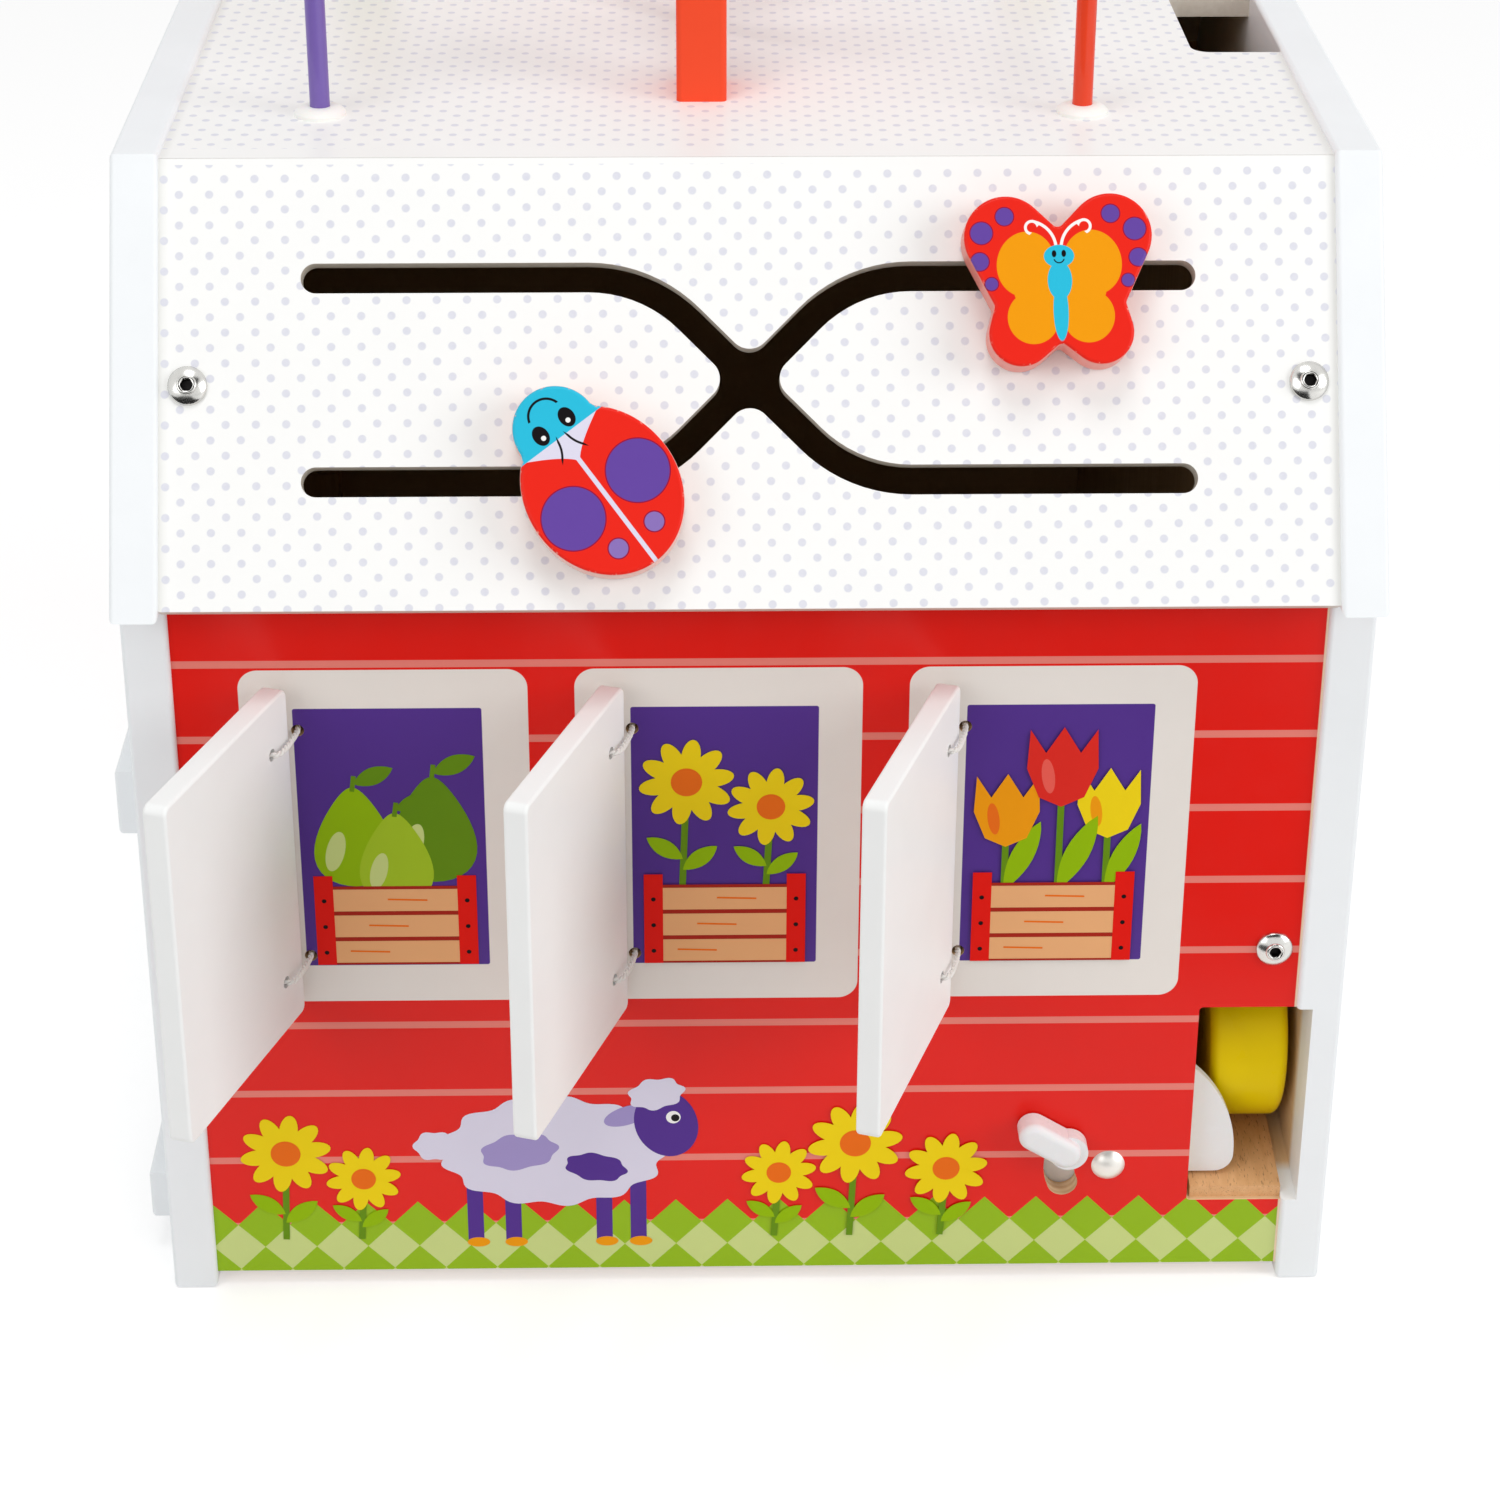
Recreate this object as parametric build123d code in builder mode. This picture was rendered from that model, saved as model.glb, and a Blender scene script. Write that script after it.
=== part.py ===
from build123d import *
import os
from math import atan2, cos, degrees, hypot, radians, sin, tan

# Overall sizes in millimetres. The origin is the middle of the underside, the front faces -Y.
overall_width = 305
footprint_depth = 305
eave_height = 201.5
eave_overhang = 14.5
knee_height = 299
knee_setback = 41.7

# Boards and how they fit together
side_thickness = 11.5
side_corner_radius = 3
side_edge_radius = 1.2
panel_thickness = 6
panel_recess = 1.5
wall_bottom = 4
roof_start = 3
board_gap = 0.3
running_gap = 0.5
pin_fit = 0.05
overrun = 5

# Button head screws and the glued cleats that they bite into
screw_head_radius = 4.75
screw_head_height = 2.2
screw_rim_height = 0.7
screw_shank_radius = 2
screw_socket_radius = 1.5
screw_socket_depth = 1.4
screw_length = 13
screw_inset = 7
screw_hole_radius = 2.1
cleat_width = 14
cleat_length = 24
cleat_depth = 10
wall_screw_height = 101
roof_screw_share = 0.5065

# Picture doors on cord hinges, standing open at rest
door_count = 3
door_width_share = 0.2358
door_height = 91.3
door_bottom = 87.3
door_thickness = 6
door_margin_share = 0.0656
door_pitch_share = 0.2915
door_standoff = 1.5
door_pivot_inset = 4
door_pivot_depth = 4.53
door_open_angle = 108.9
door_corner_radius = 2.2
door_edge_radius = 0.8
cord_radius = 1
cord_hole_radius = 1.6
cord_hole_inset = 10
cord_wall_shift = 11.3
cord_spread = 64
cord_lift = 2.2
cord_mouth = 1.8
cord_bend_radius = 1.5
cord_ease_radius = 3
knot_radius = 2.4

# Crossing track in the front roof and the two sliders in it
track_width = 7.2
track_length_share = 0.734
track_high_share = 0.7349
track_bend_radius = 34
track_turn = 45
track_cross_share = 0.296
slider_thickness = 10
slider_edge_radius = 1
slider_stem_radius = 3.2
slider_bore_depth = 6
keeper_radius = 6.6
keeper_clearance = 0.5
keeper_thickness = 2
stem_head_radius = 5.5
stem_head_thickness = 2
ladybug_lead = 0.8
ladybug_tilt = 36.9
ladybug_half_width = 18.4
ladybug_half_length = 21.1
ladybug_head_width = 10.3
ladybug_head_height = 10.5
ladybug_drop = 4.3
ladybug_head_reach = 13.8
ladybug_neck_radius = 3
butterfly_place_share = 0.5352
butterfly_tilt = 1.6
butterfly_upper_radius = 10
butterfly_upper_reach = 12.4
butterfly_upper_rise = 7.6
butterfly_lower_radius = 7.8
butterfly_lower_reach = 9.5
butterfly_lower_drop = 15.4
butterfly_flank_reach = 7.5
butterfly_flank_radius = 6.7
butterfly_flank_drop = 10
butterfly_hip_radius = 7.4
butterfly_hip_drop = 7
butterfly_neck_radius = 5
butterfly_neck_rise = 2.4
butterfly_tail_radius = 6
butterfly_tail_drop = 10
butterfly_notch_radius = 1.5

# Roller run behind the right wall: drop slot, ramps, outlet and gate
chute_width = 24
chute_board = 4
ramp_thickness = 4
ramp_angle = 8
outlet_bottom = 24
outlet_top = 83.5
outlet_corner_radius = 1
pocket_depth = 4
pocket_length = 161
exit_ramp_setback = 1.5
exit_ramp_height = 27.3
exit_ramp_gap = 5
middle_ramp_gap = 6
drop_gap = 70
middle_ramp_height = 118
upper_ramp_lead = 28
upper_ramp_height = 205
slot_width = 23
slot_front = -23
slot_back = 32
slot_corner_radius = 5
roller_radius = 24
roller_inset = 19
roller_width = 20.5
roller_edge_radius = 2.5
roller_gate_gap = 2

# Gate lever: a sector that swings behind the front wall on one rivet
pivot_inset = 21.3
pivot_z = 35.3
gate_radius = 34
gate_bottom = 29
gate_top_angle = 58
gate_corner_radius = 5
gate_thickness = 3
lever_reach = 13
lever_rest_angle = 32
lever_swing = 56
lever_overlap = 2
lever_stem_radius = 3
lever_slot_radius = 4
knob_length = 18
knob_width = 8
knob_height = 7
knob_gap = 0.6
knob_edge_radius = 2
knob_shift = 6.1
knob_foot_radius = 5
knob_foot_height = 4.4
knob_socket_depth = 4
rivet_head_radius = 4.4
rivet_head_height = 2
rivet_radius = 2
rivet_tail_radius = 3.6
rivet_tail_height = 1.2

# Bead maze and the arch on the flat top
maze_place_share = -0.0766
maze_width_share = 0.6702
maze_depth_share = 0.6823
wire_radius = 2.5
wire_tail = 9
wire_corner_radius = 24
wire_wave_radius = 22
purple_peak = 100
purple_dip = 50
red_peak = 85
red_dip = 22
wire_crest_share = 0.47
wire_valley_share = 0.15
collar_radius = 6.4
collar_height = 2.3
collar_rim = 0.8
bead_radius = 9
bead_height = 16
bead_bore_radius = 3.1
bead_edge_radius = 5.5
bead_gap = 0.3
arch_thickness = 12.6
arch_depth_share = 0.595
arch_height = 100
arch_band = 20
arch_edge_radius = 1.5
arch_screw_length = 22

# Rails and the sliding door on the left side
rail_proud = 7.5
rail_setback = 18
upper_rail_bottom = 127.6
upper_rail_height = 17.6
lower_rail_bottom = 10.5
lower_rail_height = 13.8
rail_rebate_depth = 4.6
rail_rebate_height = 6
rail_stop = 10
rail_edge_radius = 1.2
side_door_thickness = 4
side_door_width = 125
side_opening_margin = 9
side_opening_radius = 6
finger_hole_radius = 10
finger_hole_inset = 22

# Places worked out from the sizes above
half_width = overall_width / 2
half_depth = footprint_depth / 2
inner_half = half_width - side_thickness
wall_front = -half_depth + panel_recess
wall_back_face = wall_front + panel_thickness
knee_y = half_depth - knee_setback
eave_y = half_depth + eave_overhang
slope_run = eave_y - knee_y
slope_rise = knee_height - eave_height
slope_length = hypot(slope_run, slope_rise)
up_slope = Vector(0, slope_run / slope_length, slope_rise / slope_length)
roof_out = Vector(0, -up_slope.Z, up_slope.Y)
roof_foot = Vector(0, -eave_y, eave_height) - roof_out * panel_recess
front_roof_plane = Plane(origin=roof_foot, x_dir=(1, 0, 0), z_dir=roof_out)
back_roof_plane = Plane(
    origin=(0, -roof_foot.Y, roof_foot.Z),
    x_dir=(-1, 0, 0),
    z_dir=(0, -roof_out.Y, roof_out.Z),
)
top_surface = knee_height - panel_recess
top_under = top_surface - panel_thickness
slope_pitch = up_slope.Y / up_slope.Z


def roof_y(height, inward):
    """Front roof line, inward of the panel's outer face, at a height."""
    start = roof_foot - roof_out * inward
    return start.Y + (height - start.Z) * slope_pitch


def roof_height(y, inward):
    """Height of the same line at a distance from the middle."""
    start = roof_foot - roof_out * inward
    return start.Z + (y - start.Y) / slope_pitch


seam_y = roof_y(top_surface, 0)
wall_top = roof_height(wall_front, panel_thickness) - board_gap
front_wall_plane = Plane(origin=(0, wall_front, 0), x_dir=(1, 0, 0), z_dir=(0, -1, 0))
back_wall_plane = Plane(origin=(0, -wall_front, 0), x_dir=(-1, 0, 0), z_dir=(0, 1, 0))
screw_x = inner_half - screw_inset
roof_screw_reach = slope_length * roof_screw_share
keeper_foot = roof_foot - roof_out * (panel_thickness + running_gap + keeper_thickness)
wall_reach = (wall_back_face - keeper_foot.Y) / up_slope.Y
track_low = wall_reach + keeper_radius + keeper_clearance
track_high = slope_length * track_high_share
track_middle = (track_low + track_high) / 2
track_half_length = inner_half * track_length_share
track_knee = (track_high - track_low) / 2
track_ease = track_bend_radius * tan(radians(track_turn / 2))
track_bend = track_knee + track_ease
track_cross_straight = hypot(track_knee, track_knee) - track_ease - track_width / 2
track_cross_radius = track_cross_straight * track_cross_share
ladybug_place = ladybug_lead - track_bend
butterfly_place = track_bend + (track_half_length - track_bend) * butterfly_place_share
door_width = 2 * inner_half * door_width_share
door_pitch = 2 * inner_half * door_pitch_share
door_first_edge = 2 * inner_half * door_margin_share - inner_half
cord_heights = [
    door_bottom + (door_height + sign * cord_spread) / 2 for sign in (-1, 1)
]
door_edges = [door_first_edge + n * door_pitch for n in range(door_count)]
chute_left = inner_half - chute_width
outlet_left = chute_left - outlet_corner_radius
pivot_x = outlet_left - pivot_inset
slot_left = inner_half - slot_width
roller_left = inner_half - roller_inset
pocket_end = wall_front + pocket_length
exit_ramp_front = wall_front + exit_ramp_setback
exit_ramp_back = -wall_back_face - exit_ramp_gap
middle_ramp_front = wall_back_face + middle_ramp_gap
middle_ramp_back = -wall_back_face - drop_gap
upper_ramp_front = wall_back_face + drop_gap
upper_ramp_back = slot_back + upper_ramp_lead
maze_x = inner_half * maze_place_share
maze_reach_x = inner_half * maze_width_share
maze_reach_y = -seam_y * maze_depth_share
arch_depth = -2 * seam_y * arch_depth_share
gate_front = wall_back_face + board_gap
gate_back = gate_front + gate_thickness
ramp_slope = tan(radians(ramp_angle))
side_opening_back = half_depth - rail_setback - rail_stop - side_opening_margin
side_opening_front = side_opening_back - side_door_width + 2 * side_opening_margin

os.makedirs("parts", exist_ok=True)


def keep(piece, name):
    """Name a finished piece and write its file."""
    piece.part.label = name
    export_step(piece.part, f"parts/{name}.step")


def face_plane(plane, x, y, lift=0):
    """A plane moved along its own axes."""
    origin = plane.origin + plane.x_dir * x + plane.y_dir * y + plane.z_dir * lift
    return Plane(origin=origin, x_dir=plane.x_dir, z_dir=plane.z_dir)


# Side boards, cut to the barn's gable outline
gable = [
    (-half_depth, 0),
    (-half_depth, eave_height),
    (-eave_y, eave_height),
    (-knee_y, knee_height),
    (knee_y, knee_height),
    (eave_y, eave_height),
    (half_depth, eave_height),
    (half_depth, 0),
]


def side_board(start_x):
    """One gable board with eased edges."""
    with BuildPart() as board:
        with BuildSketch(Plane.YZ.offset(start_x)) as outline:
            with BuildLine():
                Polyline(*gable, close=True)
            make_face()
            high = outline.vertices().filter_by(lambda v: v.Z > eave_height / 2)
            fillet(high, side_corner_radius)
        extrude(amount=side_thickness)
        rims = board.faces().filter_by(Axis.X).edges()
        fillet(rims, side_edge_radius)
    return board


left_side = side_board(-half_width)
with BuildPart() as left_side_panel:
    add(left_side.part)
    with BuildSketch(Plane.YZ.offset(-half_width - overrun)):
        low = lower_rail_bottom + lower_rail_height + side_opening_margin
        high = upper_rail_bottom - side_opening_margin
        with Locations(((side_opening_front + side_opening_back) / 2, (low + high) / 2)):
            RectangleRounded(side_opening_back - side_opening_front, high - low, side_opening_radius)
    extrude(amount=side_thickness + 2 * overrun, mode=Mode.SUBTRACT)
keep(left_side_panel, "left_side_panel")

right_side = side_board(inner_half)
with BuildPart() as right_side_panel:
    add(right_side.part)
    pocket_front = -half_depth - overrun
    pocket_rise = (pocket_end - pocket_front) * ramp_slope
    with BuildSketch(Plane.YZ.offset(inner_half - overrun)):
        with BuildLine():
            Polyline(
                (pocket_front, outlet_bottom),
                (pocket_end, outlet_bottom + pocket_rise),
                (pocket_end, outlet_top + pocket_rise),
                (-half_depth, outlet_top),
                (pocket_front, outlet_top),
                close=True,
            )
        make_face()
    extrude(amount=overrun + pocket_depth, mode=Mode.SUBTRACT)
keep(right_side_panel, "right_side_panel")


# Walls, roof panels, top and floor
def wall_blank(plane):
    """A plain wall between the side boards."""
    with BuildPart() as wall:
        with BuildSketch(plane):
            with Locations((0, (wall_bottom + wall_top) / 2)):
                Rectangle(2 * inner_half, wall_top - wall_bottom)
        extrude(amount=-panel_thickness)
        with Locations(*[face_plane(plane, side * screw_x, wall_screw_height) for side in (-1, 1)]):
            Hole(screw_hole_radius)
    return wall


front_blank = wall_blank(front_wall_plane)
with BuildPart() as front_wall:
    add(front_blank.part)
    with BuildSketch(front_wall_plane):
        outlet_right = inner_half + overrun
        with Locations(((outlet_left + outlet_right) / 2, (outlet_bottom + outlet_top) / 2)):
            RectangleRounded(outlet_right - outlet_left, outlet_top - outlet_bottom, outlet_corner_radius)
        with Locations((pivot_x, pivot_z)):
            Circle(rivet_radius + pin_fit)
            with BuildLine(mode=Mode.PRIVATE) as lever_path:
                CenterArc((0, 0), lever_reach, 180 - lever_rest_angle, lever_swing)
            SlotArc(lever_path.edge(), 2 * lever_slot_radius)
        for edge in door_edges:
            with Locations(*[(edge + cord_wall_shift, height) for height in cord_heights]):
                Circle(cord_hole_radius)
    extrude(amount=-panel_thickness - overrun, mode=Mode.SUBTRACT)
keep(front_wall, "front_wall")

back_wall = wall_blank(back_wall_plane)
keep(back_wall, "back_wall")


def roof_blank(direction):
    """A sloping panel, mitred to the top at its upper end."""
    foot = roof_foot + up_slope * roof_start
    inner = foot - roof_out * panel_thickness
    profile = [
        (foot.Y, foot.Z),
        (seam_y, top_surface),
        (seam_y, roof_height(seam_y, panel_thickness)),
        (inner.Y, inner.Z),
    ]
    with BuildPart() as panel:
        with BuildSketch(Plane.YZ.offset(-inner_half)):
            with BuildLine():
                Polyline(*[(-direction * y, z) for y, z in profile], close=True)
            make_face()
        extrude(amount=2 * inner_half)
        plane = front_roof_plane if direction < 0 else back_roof_plane
        with Locations(*[face_plane(plane, side * screw_x, roof_screw_reach) for side in (-1, 1)]):
            Hole(screw_hole_radius)
    return panel


front_roof_blank = roof_blank(-1)
with BuildPart() as front_roof_panel:
    add(front_roof_blank.part)
    with BuildSketch(front_roof_plane) as track:
        for rise in (1, -1):
            with BuildLine() as lane:
                FilletPolyline(
                    (-track_half_length, track_middle + rise * track_knee),
                    (-track_knee, track_middle + rise * track_knee),
                    (track_knee, track_middle - rise * track_knee),
                    (track_half_length, track_middle - rise * track_knee),
                    radius=track_bend_radius,
                )
            trace(lane.line, track_width)
        with Locations(
            *[(side * track_half_length, reach) for side in (-1, 1) for reach in (track_low, track_high)]
        ):
            Circle(track_width / 2)
        crossing = track.vertices().sort_by_distance(Vector(0, track_middle, 0))[:4]
        fillet(crossing, track_cross_radius)
    extrude(amount=-panel_thickness - overrun, mode=Mode.SUBTRACT)
keep(front_roof_panel, "front_roof_panel")

back_roof_panel = roof_blank(1)
keep(back_roof_panel, "back_roof_panel")

wire_feet = [(maze_x + sx * maze_reach_x, sy * maze_reach_y) for sx in (-1, 1) for sy in (-1, 1)]
arch_feet = [(maze_x, side * (arch_depth - arch_band) / 2) for side in (-1, 1)]
with BuildPart() as top_panel:
    with BuildSketch(Plane.XY.offset(top_under)):
        Rectangle(2 * inner_half, -2 * seam_y - 2 * board_gap)
        slot_right = inner_half + overrun
        with Locations(((slot_left + slot_right) / 2, (slot_front + slot_back) / 2)):
            RectangleRounded(
                slot_right - slot_left,
                slot_back - slot_front,
                slot_corner_radius,
                mode=Mode.SUBTRACT,
            )
        with Locations(*wire_feet):
            Circle(wire_radius + pin_fit, mode=Mode.SUBTRACT)
        with Locations(*arch_feet):
            Circle(screw_hole_radius, mode=Mode.SUBTRACT)
    extrude(amount=panel_thickness)
keep(top_panel, "top_panel")

with BuildPart() as floor_panel:
    with BuildSketch():
        Rectangle(2 * inner_half, -2 * wall_back_face)
    extrude(amount=panel_thickness)
keep(floor_panel, "floor_panel")

# Screws and cleats
with BuildPart() as screw:
    with BuildSketch(Plane.XZ):
        with BuildLine():
            crown = screw_head_height - screw_rim_height
            Line((0, -screw_length), (screw_shank_radius, -screw_length))
            Line((screw_shank_radius, -screw_length), (screw_shank_radius, 0))
            Line((screw_shank_radius, 0), (screw_head_radius, 0))
            Line((screw_head_radius, 0), (screw_head_radius, screw_rim_height))
            SagittaArc((screw_head_radius, screw_rim_height), (0, screw_head_height), -crown / 3)
            Line((0, screw_head_height), (0, -screw_length))
        make_face()
    revolve(axis=Axis.Z)
    with BuildSketch(Plane.XY.offset(screw_head_height + overrun)):
        RegularPolygon(screw_socket_radius, 6)
    extrude(amount=-screw_socket_depth - overrun, mode=Mode.SUBTRACT)

wall_screw_planes = [
    face_plane(plane, side * screw_x, wall_screw_height)
    for plane in (front_wall_plane, back_wall_plane)
    for side in (-1, 1)
]
roof_screw_planes = [
    face_plane(plane, side * screw_x, roof_screw_reach)
    for plane in (front_roof_plane, back_roof_plane)
    for side in (-1, 1)
]
with BuildPart() as wall_screws:
    with Locations(*wall_screw_planes):
        add(screw.part)
keep(wall_screws, "wall_screws")
with BuildPart() as roof_screws:
    with Locations(*roof_screw_planes):
        add(screw.part)
keep(roof_screws, "roof_screws")


def cleats(planes):
    """Blocks glued to the side boards, one behind each screw."""
    with BuildPart() as blocks:
        for plane in planes:
            side = 1 if plane.origin.X * plane.x_dir.X > 0 else -1
            shift = side * (screw_inset - cleat_width / 2)
            with BuildSketch(face_plane(plane, 0, 0, -panel_thickness)):
                with Locations((shift, 0)):
                    Rectangle(cleat_width, cleat_length)
                Circle(screw_shank_radius + pin_fit, mode=Mode.SUBTRACT)
            extrude(amount=-cleat_depth)
    return blocks


wall_cleats = cleats(wall_screw_planes)
keep(wall_cleats, "wall_cleats")
roof_cleats = cleats(roof_screw_planes)
keep(roof_cleats, "roof_cleats")

# Roller run
partition_front = gate_back + running_gap
with BuildPart() as chute_partition:
    bend_height = roof_height(partition_front, panel_thickness + board_gap)
    upper_y = roof_y(top_under, panel_thickness + board_gap)
    outline_points = [
        (partition_front, panel_thickness),
        (partition_front, bend_height),
        (upper_y, top_under),
    ]
    mirrored = [(-y, z) for y, z in reversed(outline_points)]
    with BuildSketch(Plane.YZ.offset(chute_left - chute_board)):
        with BuildLine():
            Polyline(*outline_points, *mirrored, close=True)
        make_face()
    extrude(amount=chute_board)
keep(chute_partition, "chute_partition")


def ramp(front, back, low_height, direction):
    """A ramp across the chute that falls to the front (1) or the back (-1)."""
    front_height = low_height if direction > 0 else low_height + (back - front) * ramp_slope
    back_height = front_height + direction * (back - front) * ramp_slope
    with BuildPart() as board:
        with BuildSketch(Plane.YZ.offset(chute_left)):
            with BuildLine():
                Polyline(
                    (front, front_height),
                    (back, back_height),
                    (back, back_height - ramp_thickness),
                    (front, front_height - ramp_thickness),
                    close=True,
                )
            make_face()
        extrude(amount=inner_half - chute_left)
    return board


upper_ramp = ramp(upper_ramp_front, upper_ramp_back, upper_ramp_height, 1)
keep(upper_ramp, "upper_ramp")
middle_ramp = ramp(middle_ramp_front, middle_ramp_back, middle_ramp_height, -1)
keep(middle_ramp, "middle_ramp")
exit_blank = ramp(exit_ramp_front, exit_ramp_back, exit_ramp_height, 1)
sill_front = wall_front - overrun
sill_back = wall_back_face + board_gap
with BuildPart() as exit_ramp:
    add(exit_blank.part)
    with BuildSketch(Plane.YZ.offset(chute_left)):
        with Locations(((sill_front + sill_back) / 2, outlet_bottom - overrun / 2)):
            Rectangle(sill_back - sill_front, overrun)
    extrude(amount=inner_half - chute_left, mode=Mode.SUBTRACT)
keep(exit_ramp, "exit_ramp")

roller_y = gate_back + roller_gate_gap + roller_radius
roller_z = exit_ramp_height + (roller_y - exit_ramp_front) * ramp_slope
roller_z += (roller_radius + board_gap) / cos(radians(ramp_angle))
with BuildPart() as roller:
    with BuildSketch(Plane.YZ.offset(roller_left)):
        with Locations((roller_y, roller_z)):
            Circle(roller_radius)
    extrude(amount=roller_width)
    fillet(roller.edges().filter_by(GeomType.CIRCLE), roller_edge_radius)
keep(roller, "roller")

# Gate lever, its rivet and its knob
lever_plane = Plane(origin=(pivot_x, gate_front, pivot_z), x_dir=(1, 0, 0), z_dir=(0, -1, 0))
gate_low = gate_bottom - pivot_z
gate_low_angle = degrees(atan2(gate_low, (gate_radius**2 - gate_low**2) ** 0.5))
stem_x = -lever_reach * cos(radians(lever_rest_angle))
stem_y = lever_reach * sin(radians(lever_rest_angle))
with BuildPart() as gate_lever:
    with BuildSketch(lever_plane) as lever_face:
        with BuildLine():
            edge_arc = CenterArc((0, 0), gate_radius, gate_low_angle, gate_top_angle - gate_low_angle)
            Polyline(edge_arc @ 1, (0, 0), (0, gate_low), edge_arc @ 0)
        make_face()
        corner = lever_face.vertices().sort_by(Axis.X)[-1]
        fillet(corner, gate_corner_radius)
        Circle(lever_reach + lever_slot_radius + lever_overlap)
        Circle(rivet_radius + pin_fit, mode=Mode.SUBTRACT)
    extrude(amount=-gate_thickness)
    with BuildSketch(lever_plane):
        with Locations((stem_x, stem_y)):
            Circle(lever_stem_radius)
    extrude(amount=board_gap + panel_thickness + knob_gap + knob_socket_depth)
keep(gate_lever, "gate_lever")

knob_base = Plane(
    origin=(pivot_x + stem_x, wall_front - knob_gap, pivot_z + stem_y),
    x_dir=(cos(radians(lever_rest_angle)), 0, -sin(radians(lever_rest_angle))),
    z_dir=(0, -1, 0),
)
with BuildPart() as lever_knob:
    with BuildSketch(knob_base):
        with Locations((-knob_shift, 0)):
            SlotOverall(knob_length, knob_width)
    extrude(amount=knob_height)
    with BuildSketch(knob_base):
        Circle(knob_foot_radius)
    extrude(amount=knob_foot_height)
    fillet(lever_knob.faces().sort_by(Axis.Y)[0].edges(), knob_edge_radius)
    with BuildSketch(knob_base):
        Circle(lever_stem_radius + pin_fit)
    extrude(amount=knob_socket_depth + pin_fit, mode=Mode.SUBTRACT)
keep(lever_knob, "lever_knob")

rivet_plane = Plane(origin=(pivot_x, wall_front, pivot_z), x_dir=(1, 0, 0), z_dir=(0, -1, 0))
rivet_tail_top = gate_back - wall_front + board_gap
with BuildPart() as gate_rivet:
    with BuildSketch(Plane(origin=rivet_plane.origin, x_dir=(1, 0, 0), z_dir=(0, 0, 1))):
        with BuildLine():
            SagittaArc((0, -rivet_head_height), (rivet_head_radius, 0), -rivet_head_height / 4)
            Polyline(
                (rivet_head_radius, 0),
                (rivet_radius, 0),
                (rivet_radius, rivet_tail_top),
                (rivet_tail_radius, rivet_tail_top),
                (rivet_tail_radius, rivet_tail_top + rivet_tail_height),
                (0, rivet_tail_top + rivet_tail_height),
                (0, -rivet_head_height),
            )
        make_face()
    revolve(axis=Axis(rivet_plane.origin, (0, 1, 0)))
keep(gate_rivet, "gate_rivet")

# Picture doors and the cords that hinge them
door_names = ["left_door", "middle_door", "right_door"]
door_turn = radians(door_open_angle)
door_along = Vector(cos(door_turn), -sin(door_turn), 0)
door_inward = Vector(sin(door_turn), cos(door_turn), 0)


def door_axis(edge):
    """A point on a door's hinge line, at the floor."""
    return Vector(edge + door_pivot_inset, wall_front - door_standoff - door_pivot_depth, 0)


for door_name, edge in zip(door_names, door_edges):
    inner_face = door_axis(edge) + door_inward * door_pivot_depth
    face = Plane(
        origin=inner_face + Vector(0, 0, door_bottom),
        x_dir=door_along,
        z_dir=door_inward,
    )
    with BuildPart() as door:
        with BuildSketch(face):
            with Locations((door_width / 2 - door_pivot_inset, -door_height / 2)):
                RectangleRounded(door_width, door_height, door_corner_radius)
        extrude(amount=-door_thickness)
        fillet(door.faces().filter_by(face).edges(), door_edge_radius)
        with BuildSketch(face):
            with Locations(
                *[(cord_hole_inset - door_pivot_inset, door_bottom - height) for height in cord_heights]
            ):
                Circle(cord_hole_radius)
        extrude(amount=-door_thickness - overrun, mode=Mode.SUBTRACT)
    keep(door, door_name)

    mouth = inner_face + door_along * (cord_hole_inset - door_pivot_inset)
    wall_hole = Vector(edge + cord_wall_shift, wall_front, 0)
    knot_y = wall_back_face + knot_radius
    with BuildPart() as cords:
        for height in cord_heights:
            up = Vector(0, 0, height)
            with BuildLine() as route:
                FilletPolyline(
                    mouth - door_inward * (door_thickness - board_gap) + up,
                    mouth + door_inward * cord_lift + up,
                    wall_hole - Vector(0, cord_mouth, 0) + up,
                    Vector(wall_hole.X, knot_y, height),
                    radius=[cord_bend_radius, cord_ease_radius],
                )
            with BuildSketch(Plane(origin=route.line @ 0, z_dir=route.line % 0)):
                Circle(cord_radius)
            sweep(path=route.line)
            with Locations((wall_hole.X, knot_y, height)):
                Sphere(knot_radius)
    keep(cords, f"{door_name}_cords")


# Sliders in the crossing track: figure, stem and keeper
def stem_and_keeper(name, x, reach):
    """The dowel of a slider and the washer that holds it behind the roof."""
    under = -panel_thickness - running_gap
    place = face_plane(front_roof_plane, x, reach)
    with BuildPart() as stem:
        with BuildSketch(place.offset(running_gap + slider_bore_depth - pin_fit)):
            Circle(slider_stem_radius)
        head_start = under - keeper_thickness - board_gap
        extrude(amount=head_start - running_gap - slider_bore_depth + pin_fit)
        with BuildSketch(place.offset(head_start)):
            Circle(stem_head_radius)
        extrude(amount=-stem_head_thickness)
    keep(stem, f"{name}_stem")
    with BuildPart() as keeper:
        with BuildSketch(place.offset(under)):
            Circle(keeper_radius)
            Circle(slider_stem_radius + pin_fit, mode=Mode.SUBTRACT)
        extrude(amount=-keeper_thickness)
    keep(keeper, f"{name}_keeper")
    return place.offset(running_gap)


def finish_slider(name, blank, place):
    """Ease a figure's rims and bore it for its stem."""
    with BuildPart() as figure:
        add(blank.part)
        fillet(figure.faces().filter_by(place).edges(), slider_edge_radius)
        with BuildSketch(place):
            Circle(slider_stem_radius + pin_fit)
        extrude(amount=slider_bore_depth, mode=Mode.SUBTRACT)
    keep(figure, name)


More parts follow.
